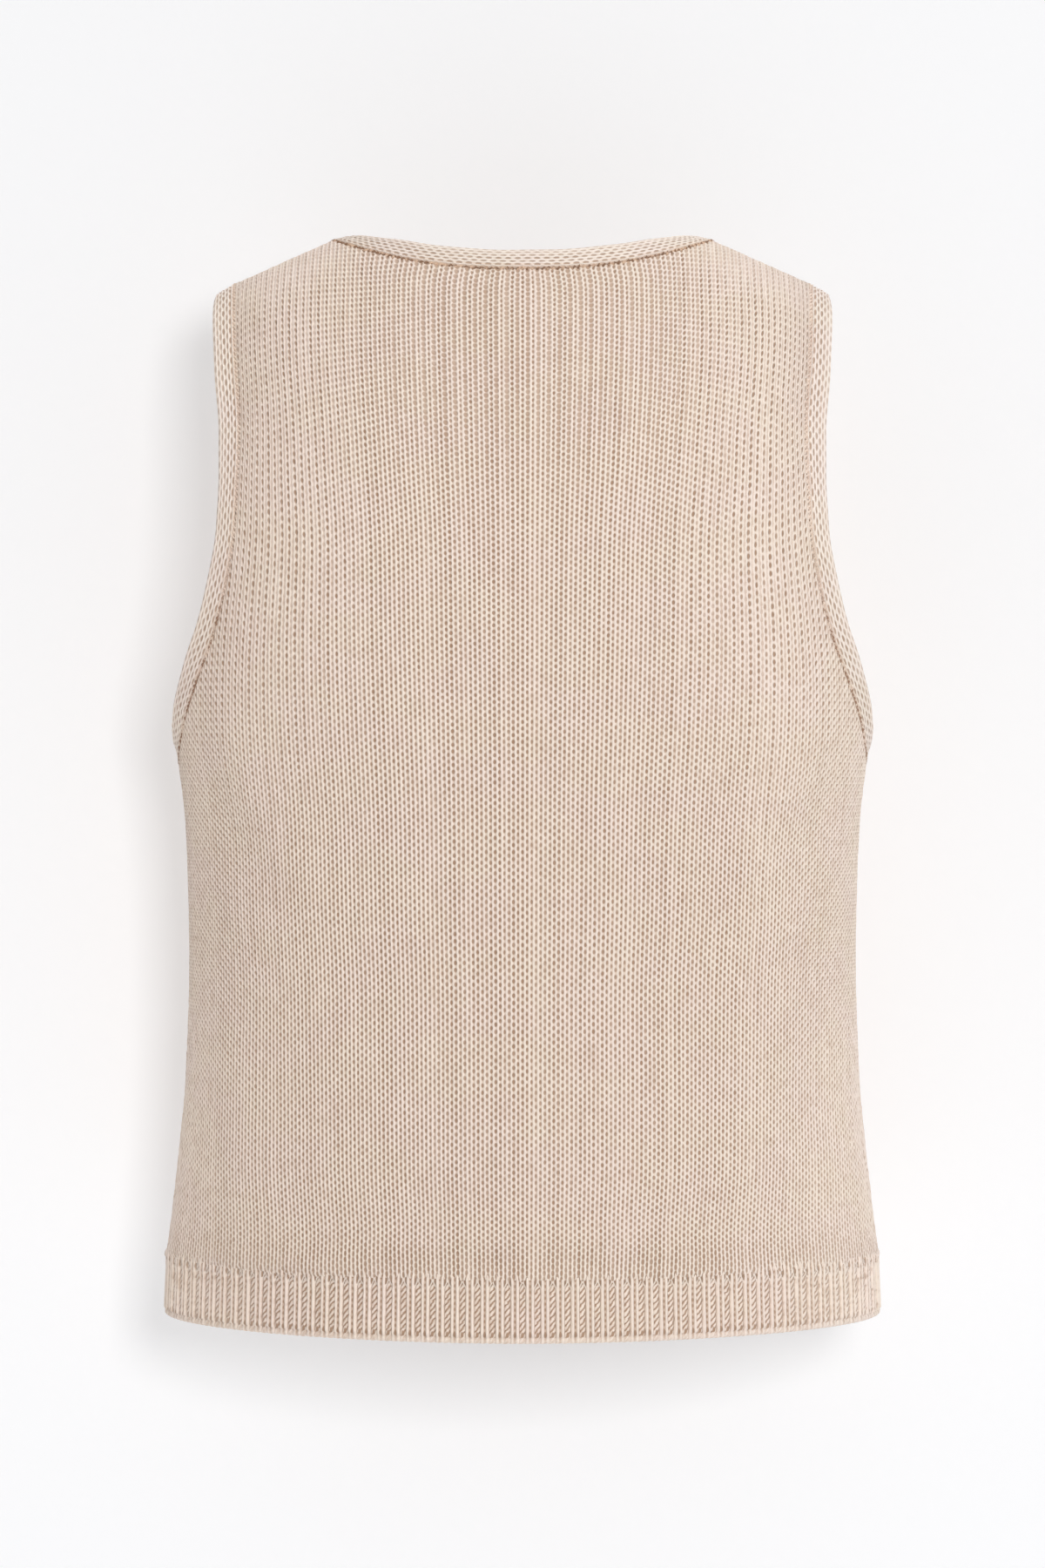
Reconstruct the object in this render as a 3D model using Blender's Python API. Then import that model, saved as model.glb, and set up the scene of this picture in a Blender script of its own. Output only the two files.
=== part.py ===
"""Sleeveless sweater vest: knitted back and front, a neck band and two armhole bands.

The vest stands in its worn form, hollow and open at the neck, hem and armholes.
The front faces -Y, up is +Z and the wearer's left is +X. The origin lies on the
symmetry plane at the height where the wearer's shoulders carry the garment.
All sizes and tables are in millimetres and are scaled to metres at the end.
"""

import math

import bmesh
import bpy
import numpy as np

MM = 0.001

# Cloth and seams
WALL = 2.5
SEAM_GAP = 0.3
BAND_GAP = 0.5
BAND_WIDTH = 11.5
BAND_THICKNESS = 3.0

# Heights above the origin
HEM_HEIGHT = -525.0
RIB_TOP = -496.0
RIB_FADE = 4.0
UNDERARM_HEIGHT = -248.0

# Neck and shoulders
NECK_HALF_WIDTH = 96.0
SHOULDER_HALF_WIDTH = 144.5
NECK_POINT_HEIGHT = 14.8
SHOULDER_SLOPE = 0.441
SHOULDER_CROWN = 70.0
SHOULDER_DROP = 150.0
SHOULDER_ROUND = 2.3
RIDGE_Y = 5.0
BACK_NECK_DROP = 20.0
BACK_NECK_POWER = 2.4
FRONT_NECK_DROP = 172.0
FRONT_NECK_POWER = 0.87

# Hem rib, one raised wale and one channel in each pitch
RIBS_PER_PANEL = 60
RIB_HEIGHT = 1.1
RIB_PROFILE_COLUMNS = ("across", "raised")
RIB_PROFILE = (
    (0.24, 0.0),
    (0.33, 1.0),
    (0.67, 1.0),
    (0.76, 0.0),
)
RIB_ROW_COLUMNS = ("height", "raised")
RIB_ROWS = (
    (HEM_HEIGHT, 0.25),
    (HEM_HEIGHT + 1.6, 1.0),
    (RIB_TOP, 1.0),
    (RIB_TOP + RIB_FADE, 0.0),
)

# Mesh density
NECK_COLUMNS = 9
SHOULDER_COLUMNS = 8
BODY_ROWS = 11
YOKE_ROWS = 18
SECTION_SAMPLES = 721

# Horizontal sections of the worn form, one row per height
TRUNK_COLUMNS = ("height", "half_width", "back_depth", "front_depth", "power")
TRUNK = (
    (-525.0, 179.9, 124.0, 113.0, 1.80),
    (-495.0, 178.4, 122.5, 111.5, 1.82),
    (-442.0, 172.9, 117.0, 106.5, 1.86),
    (-407.0, 169.6, 111.5, 102.0, 1.92),
    (-346.0, 167.6, 104.5, 97.5, 2.03),
    (-302.0, 168.4, 103.0, 99.5, 2.14),
    (-280.0, 169.3, 103.3, 102.5, 2.20),
    (-262.0, 171.0, 103.7, 105.2, 2.26),
    (-248.0, 172.8, 104.0, 107.2, 2.30),
    (-232.0, 174.0, 104.3, 109.0, 2.34),
    (-200.0, 174.8, 104.5, 111.0, 2.38),
    (-150.0, 174.8, 103.0, 107.0, 2.38),
    (-100.0, 174.0, 98.0, 96.0, 2.34),
    (-50.0, 174.0, 90.0, 82.0, 2.30),
    (0.0, 174.0, 79.0, 66.0, 2.30),
    (45.0, 174.0, 70.0, 55.0, 2.30),
)

# Half width of each panel at the armhole seam
ARMHOLE_COLUMNS = ("height", "back_edge", "front_edge")
ARMHOLE = (
    (-248.0, 172.8, 172.8),
    (-241.0, 171.4, 171.2),
    (-226.0, 167.6, 166.2),
    (-208.0, 161.0, 158.0),
    (-185.0, 152.0, 148.4),
    (-157.0, 144.8, 140.6),
    (-130.0, 140.8, 136.6),
    (-86.0, 139.2, 135.4),
    (-40.0, 142.6, 139.6),
    (-6.2, 144.5, 144.5),
)

# Lean of the armhole bands away from the body, in degrees
FLARE_COLUMNS = ("height", "armhole_flare")
FLARE = (
    (-250.0, 9.0),
    (-228.0, 20.0),
    (-200.0, 22.0),
    (-170.0, 13.0),
    (-130.0, 7.0),
    (-90.0, 11.0),
    (-50.0, 18.0),
    (-20.0, 12.0),
    (-6.0, -6.0),
)

# Lean of the neck band, which lies over towards the neck at the neck points
NECK_FLARE_COLUMNS = ("height", "neck_flare")
NECK_FLARE = (
    (-160.0, 2.0),
    (-6.0, 4.0),
    (2.0, 1.0),
    (9.0, -8.0),
    (14.8, -15.0),
)

# Cross-section of a band: share of its width, share of its half thickness
BAND_PROFILE_COLUMNS = ("along", "outward")
BAND_PROFILE = (
    (0.00, 0.78),
    (0.15, 1.00),
    (0.68, 1.00),
    (0.93, 0.82),
    (1.00, 0.35),
    (1.00, -0.35),
    (0.93, -0.82),
    (0.68, -1.00),
    (0.15, -1.00),
    (0.00, -0.78),
)

YARN_COLOUR = (0.72, 0.58, 0.49, 1.0)
YARN_ROUGHNESS = 0.9


def column(table, names, name):
    """Return one named column of a table as an array."""
    place = names.index(name)
    return np.array([row[place] for row in table], dtype=float)


def smooth_column(table, names, name):
    """Return a smooth function of height through one column of a table."""
    heights = column(table, names, "height")
    values = column(table, names, name)
    steps = np.diff(heights)
    slopes = np.diff(values) / steps
    tangents = np.zeros_like(values)
    tangents[0] = slopes[0]
    tangents[-1] = slopes[-1]
    for place in range(1, len(values) - 1):
        before = slopes[place - 1]
        after = slopes[place]
        if before * after > 0.0:
            tangents[place] = 2.0 * before * after / (before + after)

    def value(height):
        height = min(max(height, heights[0]), heights[-1])
        place = int(np.searchsorted(heights, height, side="right")) - 1
        place = min(max(place, 0), len(steps) - 1)
        span = steps[place]
        t = (height - heights[place]) / span
        start = values[place] * (2 * t**3 - 3 * t**2 + 1)
        end = values[place + 1] * (3 * t**2 - 2 * t**3)
        leave = tangents[place] * span * (t**3 - 2 * t**2 + t)
        arrive = tangents[place + 1] * span * (t**3 - t**2)
        return start + end + leave + arrive

    return value


half_width = smooth_column(TRUNK, TRUNK_COLUMNS, "half_width")
section_power = smooth_column(TRUNK, TRUNK_COLUMNS, "power")
armhole_flare = smooth_column(FLARE, FLARE_COLUMNS, "armhole_flare")
neck_flare = smooth_column(NECK_FLARE, NECK_FLARE_COLUMNS, "neck_flare")
PANEL_DEPTH = {
    1: smooth_column(TRUNK, TRUNK_COLUMNS, "back_depth"),
    -1: smooth_column(TRUNK, TRUNK_COLUMNS, "front_depth"),
}
PANEL_EDGE = {
    1: smooth_column(ARMHOLE, ARMHOLE_COLUMNS, "back_edge"),
    -1: smooth_column(ARMHOLE, ARMHOLE_COLUMNS, "front_edge"),
}


def shoulder_height(x):
    """Return the height of the shoulder line, carried on over the neck as a crown."""
    x = abs(x)
    if x >= SHOULDER_CROWN:
        return NECK_POINT_HEIGHT + SHOULDER_SLOPE * (NECK_HALF_WIDTH - x)
    crown_edge = NECK_POINT_HEIGHT + SHOULDER_SLOPE * (NECK_HALF_WIDTH - SHOULDER_CROWN)
    rise = SHOULDER_SLOPE * (SHOULDER_CROWN**2 - x**2) / (2.0 * SHOULDER_CROWN)
    return crown_edge + rise


def top_height(x, side):
    """Return the height of a panel's top edge: the neck seam, then the shoulder."""
    share = abs(x) / NECK_HALF_WIDTH
    if share >= 1.0:
        return shoulder_height(x)
    if side > 0:
        return NECK_POINT_HEIGHT - BACK_NECK_DROP * (1.0 - share**BACK_NECK_POWER)
    return NECK_POINT_HEIGHT - FRONT_NECK_DROP * (1.0 - share) ** FRONT_NECK_POWER


def surface_y(x, height, side):
    """Return the outer face's depth; side is 1 for the back and -1 for the front."""
    power = section_power(height)
    across = min(abs(x) / half_width(height), 1.0)
    full = side * PANEL_DEPTH[side](height) * (1.0 - across**power) ** (1.0 / power)
    below_ridge = (shoulder_height(x) - height) / SHOULDER_DROP
    below_ridge = min(max(below_ridge, 0.0), 1.0)
    bend = (1.0 - (1.0 - below_ridge) ** SHOULDER_ROUND) ** (1.0 / SHOULDER_ROUND)
    return RIDGE_Y + (full - RIDGE_Y) * bend


def column_shares():
    """Return the columns' shares of the half width, one of them at the neck point."""
    neck_angle = math.asin(NECK_HALF_WIDTH / SHOULDER_HALF_WIDTH)
    inner = neck_angle * np.sin(np.linspace(0.0, math.pi / 2.0, NECK_COLUMNS + 1))
    outer = np.linspace(neck_angle, math.pi / 2.0, SHOULDER_COLUMNS + 1)[1:]
    half = np.sin(np.concatenate((inner, outer)))
    return np.concatenate((-half[:0:-1], half))


SHARES = column_shares()
CENTRE_COLUMN = len(SHARES) // 2


def section_x(share, height, edge, rise=0.0):
    """Return a column's x on a section whose last column lies at the edge."""
    spacing = 2.0 / section_power(min(height, UNDERARM_HEIGHT))
    spacing += (1.0 - spacing) * rise
    return math.copysign(edge * abs(share) ** spacing, share)


def body_row(height, side):
    """Return one row of outer points from side seam to side seam."""
    edge = half_width(height)
    row = []
    for share in SHARES:
        x = section_x(share, height, edge)
        row.append((x, surface_y(x, height, side), height))
    return row


def yoke_row(rise, side):
    """Return one row of outer points between the underarm (0) and the top edge (1)."""
    row = []
    for share in SHARES:
        top = top_height(share * SHOULDER_HALF_WIDTH, side)
        height = UNDERARM_HEIGHT + (top - UNDERARM_HEIGHT) * rise
        x = section_x(share, height, PANEL_EDGE[side](height), rise)
        row.append((x, surface_y(x, height, side), height))
    return row


def panel_grid(side):
    """Return the outer points of a panel above the rib, rows by columns."""
    low = RIB_TOP + 2.0 * RIB_FADE
    rises = np.sin(np.linspace(0.0, math.pi / 2.0, BODY_ROWS))
    rows = [body_row(low + (UNDERARM_HEIGHT - low) * rise, side) for rise in rises]
    for step in range(1, YOKE_ROWS + 1):
        rise = 0.5 - 0.5 * math.cos(math.pi * step / YOKE_ROWS)
        rows.append(yoke_row(rise, side))
    return np.array(rows)


def grid_normals(grid, side):
    """Return outward unit normals, level across the side and shoulder seams."""
    along = np.gradient(grid, axis=1)
    up = np.gradient(grid, axis=0)
    normals = np.cross(up, along) * side
    normals[:BODY_ROWS, 0, 1] = 0.0
    normals[:BODY_ROWS, -1, 1] = 0.0
    normals[-1, : CENTRE_COLUMN - NECK_COLUMNS + 1, 1] = 0.0
    normals[-1, CENTRE_COLUMN + NECK_COLUMNS :, 1] = 0.0
    return normals / np.linalg.norm(normals, axis=2, keepdims=True)


def open_seams(grid, side):
    """Return the grid with its side and shoulder edges moved half a seam gap apart."""
    shifted = grid.copy()
    half_gap = side * SEAM_GAP / 2.0
    shifted[:BODY_ROWS, 0, 1] = half_gap
    shifted[:BODY_ROWS, -1, 1] = half_gap
    shifted[-1, : CENTRE_COLUMN - NECK_COLUMNS + 1, 1] = RIDGE_Y + half_gap
    shifted[-1, CENTRE_COLUMN + NECK_COLUMNS :, 1] = RIDGE_Y + half_gap
    return shifted


def section_curve(height, side):
    """Return points, outward normals and length shares round one section."""
    power = 2.0 / section_power(height)
    angles = np.linspace(-math.pi / 2.0, math.pi / 2.0, SECTION_SAMPLES)
    x = half_width(height) * np.sign(np.sin(angles)) * np.abs(np.sin(angles)) ** power
    y = side * PANEL_DEPTH[side](height) * np.abs(np.cos(angles)) ** power
    lengths = np.concatenate(([0.0], np.cumsum(np.hypot(np.diff(x), np.diff(y)))))
    normals = np.stack((-np.gradient(y) * side, np.gradient(x) * side), axis=1)
    normals[0] = (-1.0, 0.0)
    normals[-1] = (1.0, 0.0)
    normals /= np.linalg.norm(normals, axis=1, keepdims=True)
    return x, y, normals, lengths / lengths[-1]


def on_section(height, side, keys, raised):
    """Return section points at the given length shares, raised along the normal."""
    x, y, normals, shares = section_curve(height, side)
    raised = np.asarray(raised, dtype=float)
    points_x = np.interp(keys, shares, x) + np.interp(keys, shares, normals[:, 0]) * raised
    points_y = np.interp(keys, shares, y) + np.interp(keys, shares, normals[:, 1]) * raised
    points_y[0] = side * SEAM_GAP / 2.0
    points_y[-1] = side * SEAM_GAP / 2.0
    return np.stack((points_x, points_y, np.full(len(keys), height)), axis=1)


def rib_keys():
    """Return the length shares and the raised shares across one panel's ribs."""
    keys = [0.0]
    raised = [0.0]
    for rib in range(RIBS_PER_PANEL):
        for across, lift in RIB_PROFILE:
            keys.append((rib + across) / RIBS_PER_PANEL)
            raised.append(lift)
    return np.array(keys + [1.0]), np.array(raised + [0.0])


def column_keys(side):
    """Return the length shares of the plain columns at the hem."""
    x, _, _, shares = section_curve(HEM_HEIGHT, side)
    edge = half_width(HEM_HEIGHT)
    places = [section_x(share, HEM_HEIGHT, edge) for share in SHARES]
    return np.interp(places, x, shares)


def zip_rows(first, second):
    """Return faces between two rows of (key, vertex), quads where the keys agree."""
    faces = []
    i = 0
    j = 0
    while i < len(first) - 1 or j < len(second) - 1:
        key_i = first[i + 1][0] if i < len(first) - 1 else math.inf
        key_j = second[j + 1][0] if j < len(second) - 1 else math.inf
        if abs(key_i - key_j) < 1e-9:
            faces.append((first[i][1], first[i + 1][1], second[j + 1][1], second[j][1]))
            i += 1
            j += 1
        elif key_i < key_j:
            faces.append((first[i][1], first[i + 1][1], second[j][1]))
            i += 1
        else:
            faces.append((first[i][1], second[j + 1][1], second[j][1]))
            j += 1
    return faces


class Solid:
    """Vertices and faces of one piece, collected row by row."""

    def __init__(self):
        self.vertices = []
        self.faces = []

    def add_row(self, keys, points):
        """Add a row of points and return it as (key, vertex) pairs."""
        start = len(self.vertices)
        self.vertices.extend(tuple(point) for point in points)
        return [(key, start + place) for place, key in enumerate(keys)]

    def join_rows(self, rows):
        """Add the faces between each row and the next."""
        for first, second in zip(rows, rows[1:]):
            self.faces.extend(zip_rows(first, second))


def edge_of(rows, place, heights):
    """Return the rows' end vertices as one row keyed by height."""
    return [(height, row[place][1]) for row, height in zip(rows, heights)]


def panel_solid(side, grid, normals):
    """Return a closed panel with ribs on its outer face and a plain inside."""
    solid = Solid()
    plain_keys = column_keys(side)
    ribbed_keys, raised = rib_keys()
    outer = []
    outer_heights = []
    for height, lift in RIB_ROWS:
        points = on_section(height, side, ribbed_keys, raised * lift * RIB_HEIGHT)
        outer.append(solid.add_row(ribbed_keys, points))
        outer_heights.append(height)
    inner = [solid.add_row(plain_keys, on_section(HEM_HEIGHT, side, plain_keys, -WALL))]
    inner_heights = [HEM_HEIGHT]
    shifted = open_seams(grid, side)
    for row, (points, directions) in enumerate(zip(shifted, normals)):
        outer.append(solid.add_row(plain_keys, points))
        inner.append(solid.add_row(plain_keys, points - directions * WALL))
        outer_heights.append(float(row))
        inner_heights.append(float(row))
    solid.join_rows(outer)
    solid.join_rows(inner)
    solid.faces.extend(zip_rows(outer[0], inner[0]))
    solid.faces.extend(zip_rows(outer[-1], inner[-1]))
    for place in (0, -1):
        outer_edge = edge_of(outer, place, outer_heights)
        inner_edge = edge_of(inner, place, inner_heights)
        solid.faces.extend(zip_rows(outer_edge, inner_edge))
    return solid


def joined_edges(back_points, front_points):
    """Return a closed loop from two edges that share their first and last places."""
    first = (back_points[0] + front_points[0]) / 2.0
    last = (back_points[-1] + front_points[-1]) / 2.0
    return np.concatenate(([first], back_points[1:-1], [last], front_points[-2:0:-1]))


def band_solid(seam, normals, centre, flares, stretch):
    """Return a band that runs on from the panel edges round one opening."""
    solid = Solid()
    count = len(seam)
    rings = []
    for place in range(count):
        along = seam[(place + 1) % count] - seam[place - 1]
        normal = normals[place] / np.linalg.norm(normals[place])
        across = np.cross(along, normal)
        across /= np.linalg.norm(across)
        if np.dot(across, centre - seam[place]) < 0.0:
            across = -across
        start = seam[place] - normal * WALL / 2.0 + across * BAND_GAP
        ring = []
        for share, outward in BAND_PROFILE:
            lean = math.radians(flares[place]) * share**0.5
            reach = share * BAND_WIDTH * stretch[place]
            middle = start + reach * (math.cos(lean) * across + math.sin(lean) * normal)
            face = math.cos(lean) * normal - math.sin(lean) * across
            ring.append(middle + face * outward * BAND_THICKNESS / 2.0)
        rings.append(solid.add_row(range(len(ring)), ring))
    size = len(BAND_PROFILE)
    for place in range(count):
        here = rings[place]
        after = rings[(place + 1) % count]
        for corner in range(size):
            beyond = (corner + 1) % size
            solid.faces.append((here[corner][1], here[beyond][1], after[beyond][1], after[corner][1]))
    return solid


def armhole_band(place, grids, normals):
    """Return the band of one armhole; place is 0 or -1, the panels' end column."""
    low = BODY_ROWS - 1
    seam = joined_edges(grids[1][low:, place], grids[-1][low:, place])
    directions = joined_edges(normals[1][low:, place], normals[-1][low:, place])
    flares = [armhole_flare(point[2]) for point in seam]
    centre = np.array((seam[0][0], RIDGE_Y, UNDERARM_HEIGHT / 2.0))
    return band_solid(seam, directions, centre, flares, np.ones(len(seam)))


def neck_band(grids, normals):
    """Return the neck band, mitred at the point of the front neckline."""
    neck = slice(CENTRE_COLUMN - NECK_COLUMNS, CENTRE_COLUMN + NECK_COLUMNS + 1)
    seam = joined_edges(grids[1][-1, neck], grids[-1][-1, neck])
    directions = joined_edges(normals[1][-1, neck], normals[-1][-1, neck])
    flares = [neck_flare(place[2]) for place in seam]
    stretch = np.ones(len(seam))
    point = len(seam) - NECK_COLUMNS
    leg = seam[point] - seam[point - 1]
    stretch[point] = 1.0 / math.sin(math.atan2(abs(leg[0]), math.hypot(leg[1], leg[2])))
    centre = np.array((0.0, RIDGE_Y, NECK_POINT_HEIGHT + 20.0))
    return band_solid(seam, directions, centre, flares, stretch)


def knit_material(name):
    """Return a plain knitted-yarn material for one piece."""
    material = bpy.data.materials.new(name)
    material.use_nodes = True
    shader = material.node_tree.nodes["Principled BSDF"]
    shader.inputs["Base Color"].default_value = YARN_COLOUR
    shader.inputs["Roughness"].default_value = YARN_ROUGHNESS
    material.diffuse_color = YARN_COLOUR
    return material


def add_piece(name, solid):
    """Add one closed, outward-facing, smooth-shaded piece to the scene."""
    mesh = bpy.data.meshes.new(name)
    vertices = [tuple(value * MM for value in vertex) for vertex in solid.vertices]
    mesh.from_pydata(vertices, [], solid.faces)
    shaped = bmesh.new()
    shaped.from_mesh(mesh)
    bmesh.ops.recalc_face_normals(shaped, faces=shaped.faces)
    shaped.to_mesh(mesh)
    shaped.free()
    mesh.shade_smooth()
    mesh.materials.append(knit_material("knit_" + name))
    piece = bpy.data.objects.new(name, mesh)
    bpy.context.scene.collection.objects.link(piece)


def main():
    """Clear the scene and build the five pieces."""
    for existing in list(bpy.data.objects):
        bpy.data.objects.remove(existing, do_unlink=True)
    grids = {side: panel_grid(side) for side in (1, -1)}
    normals = {side: grid_normals(grids[side], side) for side in (1, -1)}
    add_piece("back_panel", panel_solid(1, grids[1], normals[1]))
    add_piece("front_panel", panel_solid(-1, grids[-1], normals[-1]))
    add_piece("neck_band", neck_band(grids, normals))
    add_piece("armhole_band_left", armhole_band(-1, grids, normals))
    add_piece("armhole_band_right", armhole_band(0, grids, normals))


main()
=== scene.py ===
"""Knitted sweater vest, seen from the back: stitch relief, yarn and studio.

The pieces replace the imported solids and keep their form. Every table is in
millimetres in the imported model's own frame, and meshes are scaled to metres.
A panel is worked out in stitch space: wales across, courses up.
"""
import math

import bpy
import numpy as np
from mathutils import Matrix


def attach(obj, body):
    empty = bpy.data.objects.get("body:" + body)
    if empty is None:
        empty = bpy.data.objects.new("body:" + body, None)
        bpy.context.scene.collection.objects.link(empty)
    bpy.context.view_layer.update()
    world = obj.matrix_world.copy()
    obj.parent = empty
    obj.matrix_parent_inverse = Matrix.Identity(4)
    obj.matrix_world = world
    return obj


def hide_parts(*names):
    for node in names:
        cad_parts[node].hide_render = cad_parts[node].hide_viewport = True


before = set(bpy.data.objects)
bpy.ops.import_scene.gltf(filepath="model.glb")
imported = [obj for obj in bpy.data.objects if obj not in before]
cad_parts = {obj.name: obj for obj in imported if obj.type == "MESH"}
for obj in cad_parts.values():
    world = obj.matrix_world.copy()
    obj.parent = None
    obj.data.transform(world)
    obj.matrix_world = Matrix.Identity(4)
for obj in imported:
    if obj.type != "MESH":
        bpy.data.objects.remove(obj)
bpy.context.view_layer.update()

bl_info = {
    "name": "Knitted sweater vest",
    "version": (1, 0, 0),
    "blender": (4, 5, 0),
    "location": "View3D > Sidebar > Knit",
    "description": "Builds the knitted panels, bands, camera and studio of a sweater vest",
    "category": "Add Mesh",
}

MM = 0.001

# Cloth and seams, as in the solids
WALL = 2.5
SEAM_GAP = 0.3
BAND_GAP = 0.5
BAND_WIDTH = 11.5
BAND_THICKNESS = 3.0
HEM_HEIGHT = -525.0
RIB_TOP = -496.0
UNDERARM_HEIGHT = -248.0
NECK_HALF_WIDTH = 96.0
SHOULDER_HALF_WIDTH = 144.5
NECK_POINT_HEIGHT = 14.8
SHOULDER_SLOPE = 0.441
SHOULDER_CROWN = 70.0
SHOULDER_DROP = 150.0
SHOULDER_ROUND = 2.3
RIDGE_Y = 5.0
BACK_NECK_DROP = 20.0
BACK_NECK_POWER = 2.4
FRONT_NECK_DROP = 172.0
FRONT_NECK_POWER = 0.87

# Horizontal sections of the worn form, one row per height
TRUNK_COLUMNS = ("height", "half_width", "back_depth", "front_depth", "power")
TRUNK = (
    (-525.0, 179.9, 124.0, 113.0, 1.80),
    (-495.0, 178.4, 122.5, 111.5, 1.82),
    (-442.0, 172.9, 117.0, 106.5, 1.86),
    (-407.0, 169.6, 111.5, 102.0, 1.92),
    (-346.0, 167.6, 104.5, 97.5, 2.03),
    (-302.0, 168.4, 103.0, 99.5, 2.14),
    (-280.0, 169.3, 103.3, 102.5, 2.20),
    (-262.0, 171.0, 103.7, 105.2, 2.26),
    (-248.0, 172.8, 104.0, 107.2, 2.30),
    (-232.0, 174.0, 104.3, 109.0, 2.34),
    (-200.0, 174.8, 104.5, 111.0, 2.38),
    (-150.0, 174.8, 103.0, 107.0, 2.38),
    (-100.0, 174.0, 98.0, 96.0, 2.34),
    (-50.0, 174.0, 90.0, 82.0, 2.30),
    (0.0, 174.0, 79.0, 66.0, 2.30),
    (45.0, 174.0, 70.0, 55.0, 2.30),
)

# Half width of each panel at the armhole seam
ARMHOLE_COLUMNS = ("height", "back_edge", "front_edge")
ARMHOLE = (
    (-248.0, 172.8, 172.8),
    (-241.0, 171.4, 171.2),
    (-226.0, 167.6, 166.2),
    (-208.0, 161.0, 158.0),
    (-185.0, 152.0, 148.4),
    (-157.0, 144.8, 140.6),
    (-130.0, 140.8, 136.6),
    (-86.0, 139.2, 135.4),
    (-40.0, 142.6, 139.6),
    (-6.2, 144.5, 144.5),
)

# Lean of the armhole bands and of the neck band, in degrees
FLARE_COLUMNS = ("height", "flare")
FLARE = (
    (-250.0, 9.0),
    (-228.0, 20.0),
    (-200.0, 22.0),
    (-170.0, 13.0),
    (-130.0, 7.0),
    (-90.0, 11.0),
    (-50.0, 18.0),
    (-20.0, 12.0),
    (-6.0, -6.0),
)
NECK_FLARE = (
    (-160.0, 2.0),
    (-6.0, 4.0),
    (2.0, 1.0),
    (9.0, -8.0),
    (14.8, -15.0),
)

# Knit gauge at the middle of the back: width of a wale, height of a course
HALF_WALES = 52
GAUGE_COLUMNS = ("height", "wale", "course")
GAUGE = (
    (-525.0, 4.05, 3.05),
    (-478.0, 4.12, 3.02),
    (-440.0, 4.25, 3.26),
    (-400.0, 4.27, 3.42),
    (-363.0, 4.28, 3.48),
    (-320.0, 4.36, 3.46),
    (-276.0, 4.40, 3.36),
    (-232.0, 4.50, 3.20),
    (-188.0, 4.60, 3.02),
    (-144.0, 4.69, 2.94),
    (-99.0, 4.92, 2.85),
    (-20.0, 5.20, 2.80),
    (45.0, 5.20, 2.80),
)
YOKE_COURSE = 70

# Stored sections of the form, with their wales, how finely curves are sampled, and
# the step over which slopes are taken
SECTION_TOP = 45.0
SECTIONS = 286
STORED_PER_WALE = 4
CURVE_SAMPLES = 900
SEAM_SAMPLES = {"armhole": 500, "neck": 400}
RIB_SAMPLES = 1801
SLOPE_STEP = 0.06

# Searches: halvings for a wale, a first guess and rounds for a column's top, and
# how the samples up a wale crowd towards its top
HALVINGS = 26
TOP_GUESS = -20.0
TOP_ROUNDS = 12
CURVE_POWER = 2.6

# Panel grid: columns to a wale, how near an edge a column may come, the course
# at the neck, the wale at the side seam, and distances that mean no edge is near
WALE_COLUMNS = 6
EDGE_MARGIN = 0.2
NECK_COURSE = 2.9
SIDE_WALE = 4.2
FAR = 99.0
NO_EDGE = 1e6

# Beside the armholes wales stand closer and courses taller: by what share, between
# or up to which heights, and how far out it has that size
CLOSER_WALES = 0.105
CLOSER_TOP = -60.0
CLOSER_OUT = 135.0
TALLER_COURSES = 0.38
TALLER_HEIGHTS = (-300.0, -110.0)
TALLER_OUT = 113.0

# Under the back neck the wales are drawn to the middle: by how much, and how far down
NECK_DRAW = 1.5
NECK_DRAW_DOWN = 8.0

# Relief at the edges: depth and reach of the groove at a sewn edge and at the side
# seam; how far the body starts below the rib's top, how high it swells there as a
# share of the rib's lift, over what height, and how deep it tucks under the rib
EDGE_GROOVE = (0.30, 1.1)
SIDE_GROOVE = (0.65, 1.6)
BODY_START = 1.5
BODY_SWELL = 0.75
SWELL_HEIGHT = 13.0
BODY_TUCK = 1.5

# Seeds of the random draws, and their spreads: lean of a strand in wales, lift of a
# point, height of a rib's tip, swing of a rib, and tension of a band's stitch
PANEL_SEED = 11
RIB_SEED = 31
LEAN_SPREAD = 0.015
LIFT_SPREAD = 0.04
TIP_SPREAD = 0.25
SWING_SPREAD = 0.02
TENSION_SPREAD = 0.10

# Margin of the bake map, and width of a turned-in edge in stitches
BAKE_MARGIN = 0.004
RIM_STITCHES = 0.45

# One stitch, half a course to a row: the lift of the column between two wales,
# of the strands and of the column inside a wale, and the strands' spread; then a
# strand's half width, its distance from the wale's middle, and its wave
STITCH_COLUMNS = ("between", "strand", "inside", "spread")
STITCH = (
    (0.60, 1.00, 0.00, 0.283),
    (0.00, 1.00, 0.60, 0.217),
)
STRAND_HALF = 0.085
STRAND_SPREAD = 0.25
STRAND_WAVE = 0.033
COLUMN_KINDS = ("between", "strand", "strand", "inside", "strand", "strand")

# Where the stitches change: wales and courses between which they turn into the
# crowded ones beside the armholes, courses between which they turn into the open
# ones at the shoulders, and how much wider the strands stand there
BESIDE_WALES = (9.0, 28.0)
BESIDE_COURSES = (52.0, 108.0)
UPPER_COURSES = (112.0, 134.0)
UPPER_SPREAD = 0.030

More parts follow.
